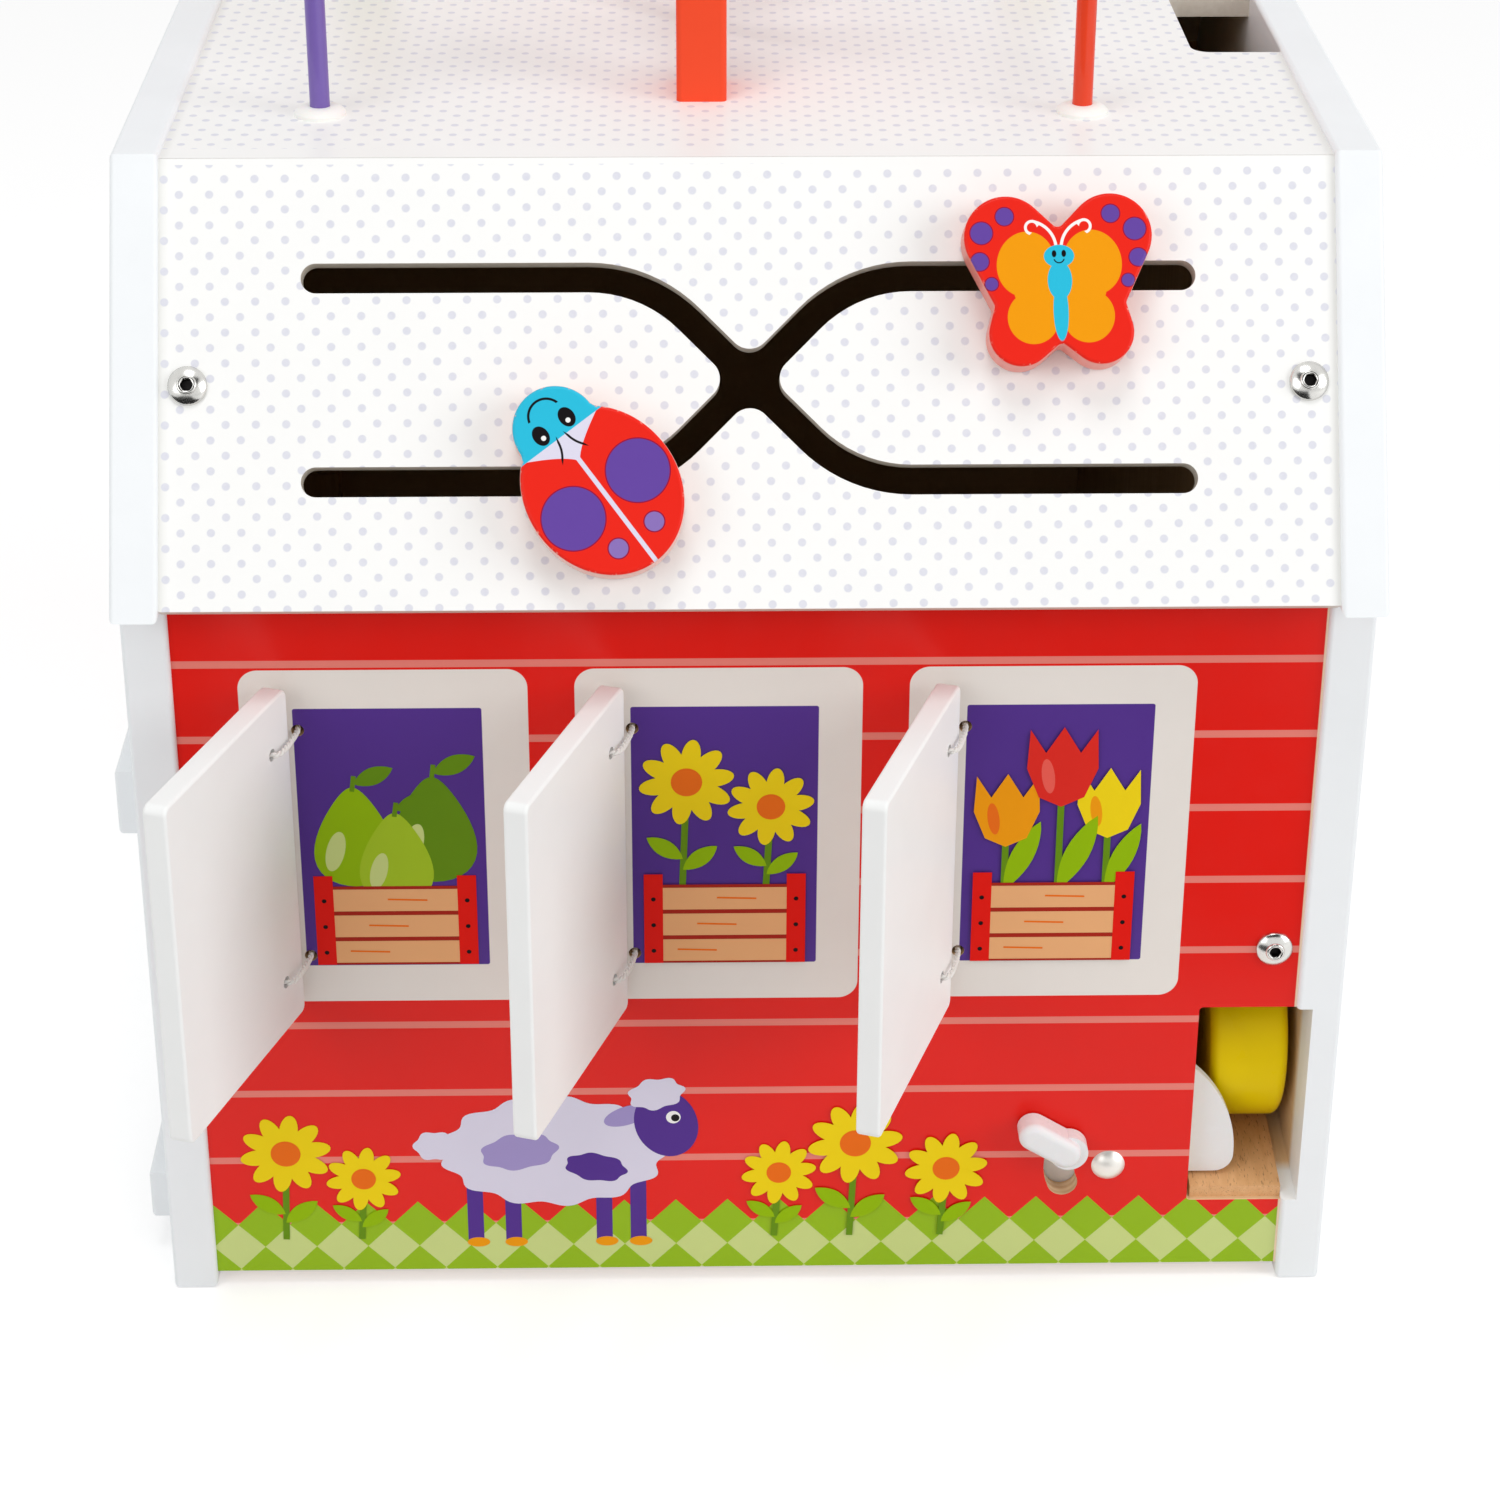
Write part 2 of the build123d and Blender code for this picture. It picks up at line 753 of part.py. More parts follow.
ladybug_base = stem_and_keeper("ladybug", ladybug_place, track_low)
with BuildPart() as ladybug_blank:
    with BuildSketch(ladybug_base) as shape:
        with Locations(Location((0, 0, 0), (0, 0, ladybug_tilt))):
            with Locations((0, -ladybug_drop)):
                Ellipse(ladybug_half_width, ladybug_half_length)
            with Locations((0, ladybug_head_reach)):
                Ellipse(ladybug_head_width, ladybug_head_height)
        neck = Vector(0, ladybug_head_reach, 0)
        necks = shape.vertices().sort_by_distance(neck.rotate(Axis.Z, ladybug_tilt))[:2]
        fillet(necks, ladybug_neck_radius)
    extrude(amount=slider_thickness)
finish_slider("ladybug", ladybug_blank, ladybug_base)

def tight_outline(circles):
    """The outline drawn tight around a few circles."""
    with BuildSketch() as wing:
        for x, y, radius in circles:
            with Locations((x, y)):
                Circle(radius)
        make_hull()
    return wing.sketch


upper_wing = tight_outline([
    (butterfly_upper_reach, butterfly_upper_rise, butterfly_upper_radius),
    (butterfly_flank_reach, -butterfly_flank_drop, butterfly_flank_radius),
    (0, butterfly_neck_rise, butterfly_neck_radius),
])
lower_wing = tight_outline([
    (butterfly_lower_reach, -butterfly_lower_drop, butterfly_lower_radius),
    (butterfly_flank_reach, -butterfly_hip_drop, butterfly_hip_radius),
    (0, -butterfly_tail_drop, butterfly_tail_radius),
])
waist_reach = butterfly_lower_reach + butterfly_lower_radius
waist_height = butterfly_upper_rise - butterfly_lower_drop
with BuildSketch() as butterfly_outline:
    add(upper_wing)
    add(lower_wing)
    mirror(about=Plane.YZ)
    notch_places = [
        (0, butterfly_upper_rise),
        (0, -butterfly_lower_drop),
        (-waist_reach, waist_height),
        (waist_reach, waist_height),
    ]
    notches = [
        butterfly_outline.vertices().sort_by_distance((x, y, 0))[0]
        for x, y in notch_places
    ]
    fillet(notches, butterfly_notch_radius)
butterfly_base = stem_and_keeper("butterfly", butterfly_place, track_high)
with BuildPart() as butterfly_blank:
    with BuildSketch(butterfly_base):
        add(butterfly_outline.sketch, rotation=butterfly_tilt)
    extrude(amount=slider_thickness)
finish_slider("butterfly", butterfly_blank, butterfly_base)


# Bead maze: two bent wires through the arch, their collars and beads
def maze_wire(direction, peak, dip):
    """A wire from a front corner to the far back corner, dipping through the arch."""
    stations = [
        (-1, -wire_tail),
        (-1, peak),
        (-wire_crest_share, peak),
        (-wire_valley_share, dip),
        (wire_valley_share, dip),
        (wire_crest_share, peak),
        (1, peak),
        (1, -wire_tail),
    ]
    points = [
        (maze_x + direction * share * maze_reach_x, share * maze_reach_y, top_surface + height)
        for share, height in stations
    ]
    corner, wave = wire_corner_radius, wire_wave_radius
    with BuildPart() as wire:
        with BuildLine() as route:
            FilletPolyline(*points, radius=[corner, wave, wave, wave, wave, corner])
        with BuildSketch(Plane(origin=route.line @ 0, z_dir=route.line % 0)):
            Circle(wire_radius)
        sweep(path=route.line)
    return wire


purple_wire = maze_wire(1, purple_peak, purple_dip)
keep(purple_wire, "purple_wire")
red_wire = maze_wire(-1, red_peak, red_dip)
keep(red_wire, "red_wire")

with BuildPart() as collar:
    with BuildSketch(Plane.XZ):
        with BuildLine():
            inner = wire_radius + pin_fit
            dome = (collar_height - collar_rim) / 4
            Polyline((inner, collar_height), (inner, 0), (collar_radius, 0), (collar_radius, collar_rim))
            SagittaArc((collar_radius, collar_rim), (inner + collar_rim, collar_height), -dome)
            Line((inner + collar_rim, collar_height), (inner, collar_height))
        make_face()
    revolve(axis=Axis.Z)
with BuildPart() as wire_collars:
    with Locations(*[(x, y, top_surface) for x, y in wire_feet]):
        add(collar.part)
keep(wire_collars, "wire_collars")

with BuildPart() as bead:
    with BuildSketch():
        Circle(bead_radius)
    extrude(amount=bead_height)
    fillet(bead.edges().filter_by(GeomType.CIRCLE), bead_edge_radius)
    Hole(bead_bore_radius)
bead_floor = top_surface + collar_height + bead_gap
for color, side in (("purple", 1), ("red", -1)):
    for level, place in enumerate(("lower", "upper")):
        with BuildPart() as threaded:
            height = bead_floor + level * (bead_height + bead_gap)
            with Locations((maze_x + side * maze_reach_x, maze_reach_y, height)):
                add(bead.part)
        keep(threaded, f"{color}_{place}_bead")

with BuildPart() as arch:
    half_arch = arch_depth / 2
    spring_line = top_surface + arch_height - half_arch
    with BuildSketch(Plane.YZ.offset(maze_x - arch_thickness / 2)):
        for radius, mode in ((half_arch, Mode.ADD), (half_arch - arch_band, Mode.SUBTRACT)):
            with Locations((0, (top_surface + spring_line) / 2)):
                Rectangle(2 * radius, spring_line - top_surface, mode=mode)
            with Locations((0, spring_line)):
                Circle(radius, mode=mode)
        below = half_arch
        with Locations((0, top_surface - below)):
            Rectangle(2 * arch_depth, 2 * below, mode=Mode.SUBTRACT)
    extrude(amount=arch_thickness)
    sides = arch.faces().filter_by(Axis.X)
    rims = sides.edges().filter_by(lambda e: e.center().Z > top_surface + board_gap)
    fillet(rims, arch_edge_radius)
    with Locations(*[Plane(origin=(x, y, top_surface), z_dir=(0, 0, -1)) for x, y in arch_feet]):
        Hole(screw_shank_radius + pin_fit, depth=arch_screw_length - panel_thickness)
keep(arch, "arch")

with BuildPart() as arch_screws:
    with Locations(*[(x, y, top_under) for x, y in arch_feet]):
        rising = (Align.CENTER, Align.CENTER, Align.MIN)
        hanging = (Align.CENTER, Align.CENTER, Align.MAX)
        Cylinder(screw_shank_radius, arch_screw_length - pin_fit, align=rising)
        Cylinder(screw_head_radius, screw_head_height, align=hanging)
keep(arch_screws, "arch_screws")


# Rails and sliding door on the left side
def rail(bottom, height, rebate_bottom):
    """A rail glued to the side board, with a blind rebate for the door's edge."""
    length = footprint_depth - 2 * rail_setback
    with BuildPart() as strip:
        with BuildSketch(Plane.YZ.offset(-half_width - rail_proud)):
            with Locations((0, bottom + height / 2)):
                Rectangle(length, height)
        extrude(amount=rail_proud)
        fillet(strip.faces().sort_by(Axis.X)[0].edges(), rail_edge_radius)
        with BuildSketch(Plane.YZ.offset(-half_width)):
            with Locations((0, rebate_bottom + (rail_rebate_height - overrun) / 2)):
                Rectangle(length - 2 * rail_stop, rail_rebate_height + overrun)
        extrude(amount=-rail_rebate_depth, mode=Mode.SUBTRACT)
    return strip


lower_rail_top = lower_rail_bottom + lower_rail_height
upper_rail = rail(upper_rail_bottom, upper_rail_height, upper_rail_bottom)
keep(upper_rail, "upper_rail")
lower_rail = rail(lower_rail_bottom, lower_rail_height, lower_rail_top - rail_rebate_height + overrun)
keep(lower_rail, "lower_rail")

with BuildPart() as side_door:
    door_low = lower_rail_top - rail_rebate_height + running_gap
    door_high = upper_rail_bottom + rail_rebate_height - running_gap
    door_end = half_depth - rail_setback - rail_stop - running_gap
    with BuildSketch(Plane.YZ.offset(-half_width - board_gap - side_door_thickness)):
        with Locations((door_end - side_door_width / 2, (door_low + door_high) / 2)):
            Rectangle(side_door_width, door_high - door_low)
        with Locations((door_end - side_door_width + finger_hole_inset, (door_low + door_high) / 2)):
            Circle(finger_hole_radius, mode=Mode.SUBTRACT)
    extrude(amount=side_door_thickness)
keep(side_door, "side_door")
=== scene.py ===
import math
import bmesh
import bpy
from mathutils import Matrix, Vector


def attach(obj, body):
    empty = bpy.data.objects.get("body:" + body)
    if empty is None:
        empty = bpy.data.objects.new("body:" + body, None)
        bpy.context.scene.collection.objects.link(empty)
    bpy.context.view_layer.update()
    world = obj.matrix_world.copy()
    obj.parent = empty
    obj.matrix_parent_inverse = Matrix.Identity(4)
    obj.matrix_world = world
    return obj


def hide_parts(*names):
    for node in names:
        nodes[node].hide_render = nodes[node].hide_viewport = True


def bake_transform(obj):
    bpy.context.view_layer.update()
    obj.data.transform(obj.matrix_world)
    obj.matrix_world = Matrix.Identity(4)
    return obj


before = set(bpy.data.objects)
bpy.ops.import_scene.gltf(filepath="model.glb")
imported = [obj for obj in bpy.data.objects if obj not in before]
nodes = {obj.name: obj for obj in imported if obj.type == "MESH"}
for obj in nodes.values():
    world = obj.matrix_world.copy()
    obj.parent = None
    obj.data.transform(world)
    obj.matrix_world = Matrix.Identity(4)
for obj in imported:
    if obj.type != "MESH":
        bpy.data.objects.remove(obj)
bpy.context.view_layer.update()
MM = 0.001

# Places of the part, in millimetres
board_inner = 141.0
wall_front = -151.0
roof_foot = Vector((0, -165.7004, 200.7509))
up_slope = Vector((0, 0.49938, 0.86637))
roof_out = Vector((0, -0.86637, 0.49938))
slope_length = 112.54
top_height = 297.5
top_half = 109.93
screw_x = 134.0
wall_screw_height = 101.0
roof_screw_reach = 57.0
# The roller's pocket in the right board: depth, lower and upper end, and where its paint stops
pocket_depth, pocket_low, pocket_high, pocket_paint = 4.2, 20.0, 140.0, 139.0
# Dot prints: turn in degrees, spacing across and along, and the shifts of the two diagonals
roof_dots = (0.3, 7.21, 7.38, 0.251, 0.156)
top_dots = (-0.6, 7.24, 7.72, 0.246, 0.225)
dot_radius = 0.98
roof_bare, top_bare = 2.4, 7.6
# Wall print: plank lines, door frames, windows and the diamond border
line_low, line_pitch, line_half = 38.9, 20.586, 1.0
panel_middle, panel_pitch = -7.65, 82.2
panel_half, panel_low, panel_high, panel_corner = 35.35, 87.4, 181.4, 5.0
window_middle, window_pitch = -6.2, 82.9
window_half, window_low, window_high, window_corner = 23.2, 98.0, 170.9, 0.6
window_sill = 98.2
border_x, border_z, border_wide, border_high = 76.1, 18.6, 13.6, 14.0
# Sliders: place across, reach up the slope and turn in degrees, and the height of their faces
ladybug_place = (-37.73, 33.8, 36.9)
butterfly_place = (73.3, 82.7, 1.6)
face_height = 9.95


def srgb(red, green, blue):
    """A colour as the eye sees it, from 0 to 255, in the renderer's own units."""
    shares = [value / 255 for value in (red, green, blue)]
    return tuple(s / 12.92 if s <= 0.04045 else ((s + 0.055) / 1.055) ** 2.4 for s in shares) + (1.0,)


RED = srgb(234, 24, 12)
PINK = srgb(238, 132, 120)
GREY = srgb(240, 233, 226)
PURPLE = srgb(87, 53, 145)
SPOT = srgb(104, 72, 164)
PALE_SPOT = srgb(142, 116, 188)
SPOT_RIM = srgb(150, 20, 60)
LILAC = srgb(166, 152, 206)
PALE_LILAC = srgb(226, 222, 240)
GREEN = srgb(150, 190, 2)
DARK_GREEN = srgb(104, 146, 20)
PALE_GREEN = srgb(206, 220, 138)
YELLOW = srgb(246, 216, 20)
ORANGE = srgb(246, 158, 10)
DEEP_ORANGE = srgb(240, 112, 24)
PEACH = srgb(240, 178, 124)
BLUE = srgb(44, 192, 224)
BLACK = srgb(24, 20, 22)
BOARD_WHITE = srgb(247, 250, 252)
WHITE = srgb(250, 249, 247)
FIGURE_RED = srgb(240, 40, 26)


class Paint:
    """Short hand for a node material."""

    def __init__(self, name):
        self.material = bpy.data.materials.new(name)
        self.material.use_nodes = True
        self.nodes = self.material.node_tree.nodes
        self.links = self.material.node_tree.links
        self.shader = self.nodes["Principled BSDF"]
        self.shader.inputs["Specular IOR Level"].default_value = 0.12
        self.place = self.nodes.new("ShaderNodeTexCoord").outputs["Object"]

    def put(self, socket, value):
        if isinstance(value, bpy.types.NodeSocket):
            self.links.new(value, socket)
        else:
            socket.default_value = value

    def set(self, **values):
        for name, value in values.items():
            self.put(self.shader.inputs[name.replace("_", " ")], value)
        return self

    def math(self, operation, *values):
        node = self.nodes.new("ShaderNodeMath")
        node.operation = operation
        for socket, value in zip(node.inputs, values):
            self.put(socket, value)
        return node.outputs[0]

    def along(self, direction, origin=(0, 0, 0)):
        """Distance along a direction from a point, in millimetres."""
        node = self.nodes.new("ShaderNodeVectorMath")
        node.operation = "DOT_PRODUCT"
        self.put(node.inputs[0], self.place)
        node.inputs[1].default_value = [v / MM for v in direction]
        return self.math("SUBTRACT", node.outputs["Value"], Vector(direction).dot(Vector(origin)))

    def mix(self, share, first, second):
        node = self.nodes.new("ShaderNodeMix")
        node.data_type = "RGBA"
        self.put(node.inputs[0], share)
        self.put(node.inputs[6], first)
        self.put(node.inputs[7], second)
        return node.outputs[2]

    def under(self, value, edge, soft=0.06):
        """One where the value is below the edge, with a thin soft rim."""
        node = self.nodes.new("ShaderNodeMapRange")
        self.put(node.inputs["Value"], value)
        node.inputs["From Min"].default_value = edge + soft
        node.inputs["From Max"].default_value = edge - soft
        return node.outputs[0]

    def both(self, first, second):
        return self.math("MULTIPLY", first, second)

    def joined(self, first, *others):
        """One where any of the shares is one."""
        for other in others:
            first = self.math("MAXIMUM", first, other)
        return first

    def spread(self, value, low, high):
        """A value from 0 to 1 spread over a range."""
        node = self.nodes.new("ShaderNodeMapRange")
        self.put(node.inputs["Value"], value)
        node.inputs["To Min"].default_value = low
        node.inputs["To Max"].default_value = high
        return node.outputs[0]

    def noise(self, stretch, detail=4.0, rough=0.55, warp=0.0):
        """Noise with a number of grains per millimetre along each axis."""
        node = self.nodes.new("ShaderNodeMapping")
        self.put(node.inputs["Vector"], self.place)
        node.inputs["Scale"].default_value = [s / MM for s in stretch]
        grain = self.nodes.new("ShaderNodeTexNoise")
        self.put(grain.inputs["Vector"], node.outputs[0])
        grain.inputs["Scale"].default_value = 1.0
        grain.inputs["Detail"].default_value = detail
        grain.inputs["Roughness"].default_value = rough
        grain.inputs["Distortion"].default_value = warp
        return grain.outputs["Fac"]

    def ring(self, x, y):
        """Distance from the point where both coordinates are zero."""
        squares = [self.math("MULTIPLY", value, value) for value in (x, y)]
        return self.math("SQRT", self.math("ADD", *squares))

    def disc(self, x, y, cx, cy, rx, ry=None, turn=0.0, soft=0.06):
        """A filled circle or ellipse on two coordinates."""
        ry = ry or rx
        dx, dy = self.math("SUBTRACT", x, cx), self.math("SUBTRACT", y, cy)
        c, s = math.cos(math.radians(turn)), math.sin(math.radians(turn))
        if turn:
            dx, dy = (
                self.math("ADD", self.math("MULTIPLY", dx, c), self.math("MULTIPLY", dy, s)),
                self.math("SUBTRACT", self.math("MULTIPLY", dy, c), self.math("MULTIPLY", dx, s)),
            )
        far = self.ring(self.math("DIVIDE", dx, rx), self.math("DIVIDE", dy, ry))
        return self.under(far, 1.0, soft / min(rx, ry))

    def arc(self, x, y, cx, cy, radius, wide, keep):
        """A thin curved stroke: a ring cut by a half plane a*x + b*y < c."""
        far = self.ring(self.math("SUBTRACT", x, cx), self.math("SUBTRACT", y, cy))
        stroke = self.under(self.math("ABSOLUTE", self.math("SUBTRACT", far, radius)), wide / 2)
        a, b, c = keep
        side = self.math("ADD", self.math("MULTIPLY", x, a), self.math("MULTIPLY", y, b))
        return self.both(stroke, self.under(side, c))

    def bumps(self, height, distance, strength=0.5):
        node = self.nodes.new("ShaderNodeBump")
        node.inputs["Strength"].default_value = strength
        node.inputs["Distance"].default_value = distance * MM
        self.put(node.inputs["Height"], height)
        self.put(self.shader.inputs["Normal"], node.outputs[0])
        return self

    def mottled(self, color, stretch=(0.05, 0.05, 0.05), least=0.94):
        """The colour with faint darker clouds, as paint and ink have."""
        clouds = self.noise(stretch, 3.0)
        shade = self.spread(clouds, least, 1.0)
        node = self.nodes.new("ShaderNodeVectorMath")
        node.operation = "SCALE"
        self.put(node.inputs[0], color if isinstance(color, bpy.types.NodeSocket) else color[:3])
        self.put(node.inputs["Scale"], shade)
        return node.outputs[0]


def ply_edge(paint, depth, layer=1.2):
    """Colour of a cut plywood edge: thin layers across the board, with grain."""
    bands = paint.math("PINGPONG", paint.math("DIVIDE", depth, layer), 1.0)
    bands = paint.under(bands, 0.5, 0.25)
    light = paint.mix(paint.noise((0.4, 0.4, 0.4), 5.0), srgb(248, 224, 190), srgb(232, 198, 154))
    return paint.mix(bands, srgb(224, 188, 146), light)


def satin(paint, low=0.3, high=0.42, bump=0.02, grain=(0.9, 0.9, 0.9)):
    """A sprayed satin coat: uneven gloss and a fine orange peel."""
    paint.set(Roughness=paint.spread(paint.noise((0.15, 0.15, 0.15), 4.0), low, high))
    paint.bumps(paint.noise(grain, 2.0), bump, 0.35)
    return paint.material


def painted(name, color, low=0.3, high=0.42, bump=0.02, grain=(0.9, 0.9, 0.9), least=0.95):
    paint = Paint(name)
    paint.set(Base_Color=paint.mottled(color, least=least))
    return satin(paint, low, high, bump, grain)


def right_board_material():
    """White paint, with bare wood in the roller's pocket behind the wall."""
    paint = Paint("right_board")
    x, y, z = (paint.along(axis) for axis in ((1, 0, 0), (0, 1, 0), (0, 0, 1)))
    bare = paint.both(
        paint.under(x, board_inner + pocket_depth),
        paint.under(paint.math("ABSOLUTE", y), pocket_paint, 2.0),
    )
    bare = paint.both(bare, paint.under(z, pocket_high))
    bare = paint.both(bare, paint.under(paint.math("MULTIPLY", z, -1.0), -pocket_low))
    bare = paint.both(bare, paint.under(paint.math("MULTIPLY", x, -1.0), -board_inner - 0.2))
    grain = paint.noise((0.5, 0.03, 0.5), 6.0, 0.6, 0.3)
    wood = paint.mix(grain, srgb(244, 218, 182), srgb(216, 180, 134))
    paint.set(Base_Color=paint.mix(bare, paint.mottled(BOARD_WHITE, least=0.95), wood))
    return satin(paint, 0.32, 0.46, 0.02, (0.7, 0.7, 0.25))


def three_fields(paint, x, z, middle, pitch, half, low, high, radius):
    """One inside three rounded rectangles in a row."""
    number = paint.math("ROUND", paint.math("DIVIDE", paint.math("SUBTRACT", x, middle), pitch))
    number = paint.math("MAXIMUM", paint.math("MINIMUM", number, 1.0), -1.0)
    nearest = paint.math("ADD", paint.math("MULTIPLY", number, pitch), middle)
    across = paint.math("SUBTRACT", x, nearest)
    across = paint.math("SUBTRACT", paint.math("ABSOLUTE", across), half - radius)
    upright = paint.math("ABSOLUTE", paint.math("SUBTRACT", z, (low + high) / 2))
    upright = paint.math("SUBTRACT", upright, (high - low) / 2 - radius)
    far = paint.ring(paint.math("MAXIMUM", across, 0.0), paint.math("MAXIMUM", upright, 0.0))
    return paint.under(far, radius)


def diamond_rows(paint, x, z):
    """The row of diamonds that a place lies in, with zero for the border's top row."""
    u = paint.math("DIVIDE", paint.math("SUBTRACT", x, border_x), border_wide)
    v = paint.math("DIVIDE", paint.math("SUBTRACT", z, border_z), border_high)
    return paint.math(
        "SUBTRACT",
        paint.math("ROUND", paint.math("ADD", u, v)),
        paint.math("ROUND", paint.math("SUBTRACT", u, v)),
    )


def wall_material(name, facing, pictures):
    """Printed wall: plank lines, diamond border and, in front, door frames with windows."""
    paint = Paint(name)
    x, y, z = (paint.along(axis) for axis in ((1, 0, 0), (0, 1, 0), (0, 0, 1)))
    plank = paint.math("DIVIDE", paint.math("SUBTRACT", z, line_low), line_pitch)
    off = paint.math("ABSOLUTE", paint.math("SUBTRACT", plank, paint.math("ROUND", plank)))
    color = paint.mix(paint.under(off, line_half / line_pitch, 0.05 / line_pitch), RED, PINK)
    if pictures:
        panel = (panel_middle, panel_pitch, panel_half, panel_low, panel_high, panel_corner)
        window = (window_middle, window_pitch, window_half, window_low, window_high, window_corner)
        for field, ink in ((panel, GREY), (window, PURPLE)):
            color = paint.mix(three_fields(paint, x, z, *field), color, ink)
    row = diamond_rows(paint, x, z)
    odd = paint.math("ABSOLUTE", paint.math("MODULO", row, 2.0))
    color = paint.mix(paint.under(row, 0.5, 0.01), color, paint.mix(odd, GREEN, PALE_GREEN))
    margin = paint.under(paint.math("SUBTRACT", board_inner, x), 0.55, 0.1)
    color = paint.mix(margin, color, srgb(250, 222, 194))
    depth = paint.math("MULTIPLY", y, float(facing))
    inside = paint.under(depth, -wall_front - 0.08, 0.02)
    color = paint.mix(inside, paint.mottled(color, least=0.95), ply_edge(paint, depth))
    paint.set(Base_Color=color, Specular_IOR_Level=0.28)
    return satin(paint, 0.18, 0.3, 0.02)


def staggered_dots(paint, x, s, lattice):
    """One inside the round dots of a staggered lattice."""
    turn, wide, high, shift_a, shift_b = lattice
    c, t = math.cos(math.radians(turn)), math.sin(math.radians(turn))
    across = paint.math("ADD", paint.math("MULTIPLY", x, c), paint.math("MULTIPLY", s, t))
    upward = paint.math("SUBTRACT", paint.math("MULTIPLY", s, c), paint.math("MULTIPLY", x, t))
    u, v = paint.math("DIVIDE", across, wide), paint.math("DIVIDE", upward, high)
    a = paint.math("SUBTRACT", paint.math("ADD", u, v), shift_a)
    b = paint.math("SUBTRACT", paint.math("SUBTRACT", u, v), shift_b)
    a = paint.math("SUBTRACT", a, paint.math("ROUND", a))
    b = paint.math("SUBTRACT", b, paint.math("ROUND", b))
    across = paint.math("MULTIPLY", paint.math("ADD", a, b), wide / 2)
    upward = paint.math("MULTIPLY", paint.math("SUBTRACT", a, b), high / 2)
    return paint.under(paint.ring(across, upward), dot_radius, 0.14)


def dot_material(name, along, origin, outward, seam, bare, lattice):
    """Near white print with staggered pale dots, bare near the seam and where the board is cut, with
    painted shade along the seam and beside the side boards.
    """
    paint = Paint(name)
    x = paint.along((1, 0, 0))
    s = paint.along(along, origin)
    lift = paint.along(outward, origin)
    ink = staggered_dots(paint, x, s, lattice)
    ink = paint.both(ink, paint.spread(paint.noise((0.8, 0.8, 0.8), 3.0), 0.6, 1.0))
    near = paint.math("SUBTRACT", seam, paint.math("ABSOLUTE", s))
    ink = paint.both(ink, paint.math("SUBTRACT", 1.0, paint.under(near, bare)))
    # Painted shade: a grey band at both ends, where the side boards shade the print
    corner = paint.under(paint.math("SUBTRACT", board_inner, paint.math("ABSOLUTE", x)), 1.2, 1.2)
    color = paint.mix(corner, srgb(252, 252, 250), srgb(238, 238, 234))
    color = paint.mix(ink, color, srgb(218, 219, 231))
    # Painted shade: a thin grey line along the seam between the panels
    seam_shade_line = paint.under(near, 0.5, 0.3)
    color = paint.mix(seam_shade_line, color, srgb(238, 239, 235))
    cut = paint.under(lift, -0.08, 0.02)
    edge = paint.mix(paint.noise((0.6, 0.6, 0.6), 4.0), srgb(226, 219, 208), srgb(206, 196, 182))
    color = paint.mix(cut, paint.mottled(color, least=0.97), edge)
    paint.set(Base_Color=color)
    return satin(paint, 0.3, 0.44, 0.015)


def wood_material(name, light, dark, grain, flecks=0.0):
    """Clear lacquered wood with grain along its longest side."""
    paint = Paint(name)
    figure = paint.noise(grain, 6.0, 0.6, 0.4)
    color = paint.mix(paint.spread(figure, -0.2, 1.2), light, dark)
    if flecks:
        short = paint.noise([g * 5 for g in grain], 2.0)
        color = paint.mix(paint.both(paint.under(short, 0.36, 0.03), flecks), color, srgb(118, 72, 42))
    paint.set(Base_Color=color, Roughness=paint.spread(figure, 0.42, 0.6))
    paint.bumps(figure, 0.06, 0.4)
    return paint.material


def plastic(name, color, low=0.22, high=0.32):
    paint = Paint(name)
    paint.set(Base_Color=paint.mottled(color, (0.03, 0.03, 0.03), 0.97))
    paint.set(Roughness=paint.spread(paint.noise((0.3, 0.3, 0.3), 3.0), low, high))
    paint.set(Subsurface_Weight=0.08, Subsurface_Scale=0.002)
    paint.bumps(paint.noise((0.6, 0.6, 0.6), 2.0), 0.01, 0.3)
    return paint.material


def metal(name, color, low=0.14, high=0.26):
    paint = Paint(name)
    paint.set(Base_Color=paint.mottled(color, (0.3, 0.3, 0.3), 0.85), Metallic=1.0)
    paint.set(Roughness=paint.spread(paint.noise((1.5, 1.5, 1.5), 4.0), low, high))
    paint.bumps(paint.noise((2.0, 2.0, 2.0), 3.0), 0.01, 0.3)
    return paint.material


def coated_wire(name, color):
    paint = Paint(name)
    paint.set(Base_Color=paint.mottled(color, (0.2, 0.2, 0.2), 0.93))
    paint.set(Roughness=paint.spread(paint.noise((0.5, 0.5, 0.5), 3.0), 0.24, 0.36))
    paint.set(Coat_Weight=0.4, Coat_Roughness=0.08)
    paint.bumps(paint.noise((1.2, 1.2, 0.3), 2.0), 0.02, 0.3)
    return paint.material


def figure_place(x, reach, turn):
    """Origin and the two axes of a slider's face."""
    origin = Vector((x, roof_foot.y, roof_foot.z)) + up_slope * reach
    c, s = math.cos(math.radians(turn)), math.sin(math.radians(turn))
    side = Vector((1, 0, 0)) * c + up_slope * s
    head = up_slope * c - Vector((1, 0, 0)) * s
    return origin, side, head


def figure_finish(paint, color, lift, pale, deep):
    """Printed face on a brushed and paler rim, as on a sawn and painted shape."""
    rim = paint.mix(paint.noise((0.5, 0.5, 0.5), 4.0), pale, deep)
    below = paint.under(lift, face_height, 0.12)
    chips = paint.under(paint.noise((0.9, 0.9, 0.9), 4.0), 0.36, 0.06)
    worn = paint.both(chips, paint.under(lift, face_height + 0.35, 0.12))
    color = paint.mix(worn, color, srgb(244, 170, 154))
    paint.set(Base_Color=paint.mottled(paint.mix(below, color, rim), least=0.96))
    return satin(paint, 0.26, 0.38, 0.02)


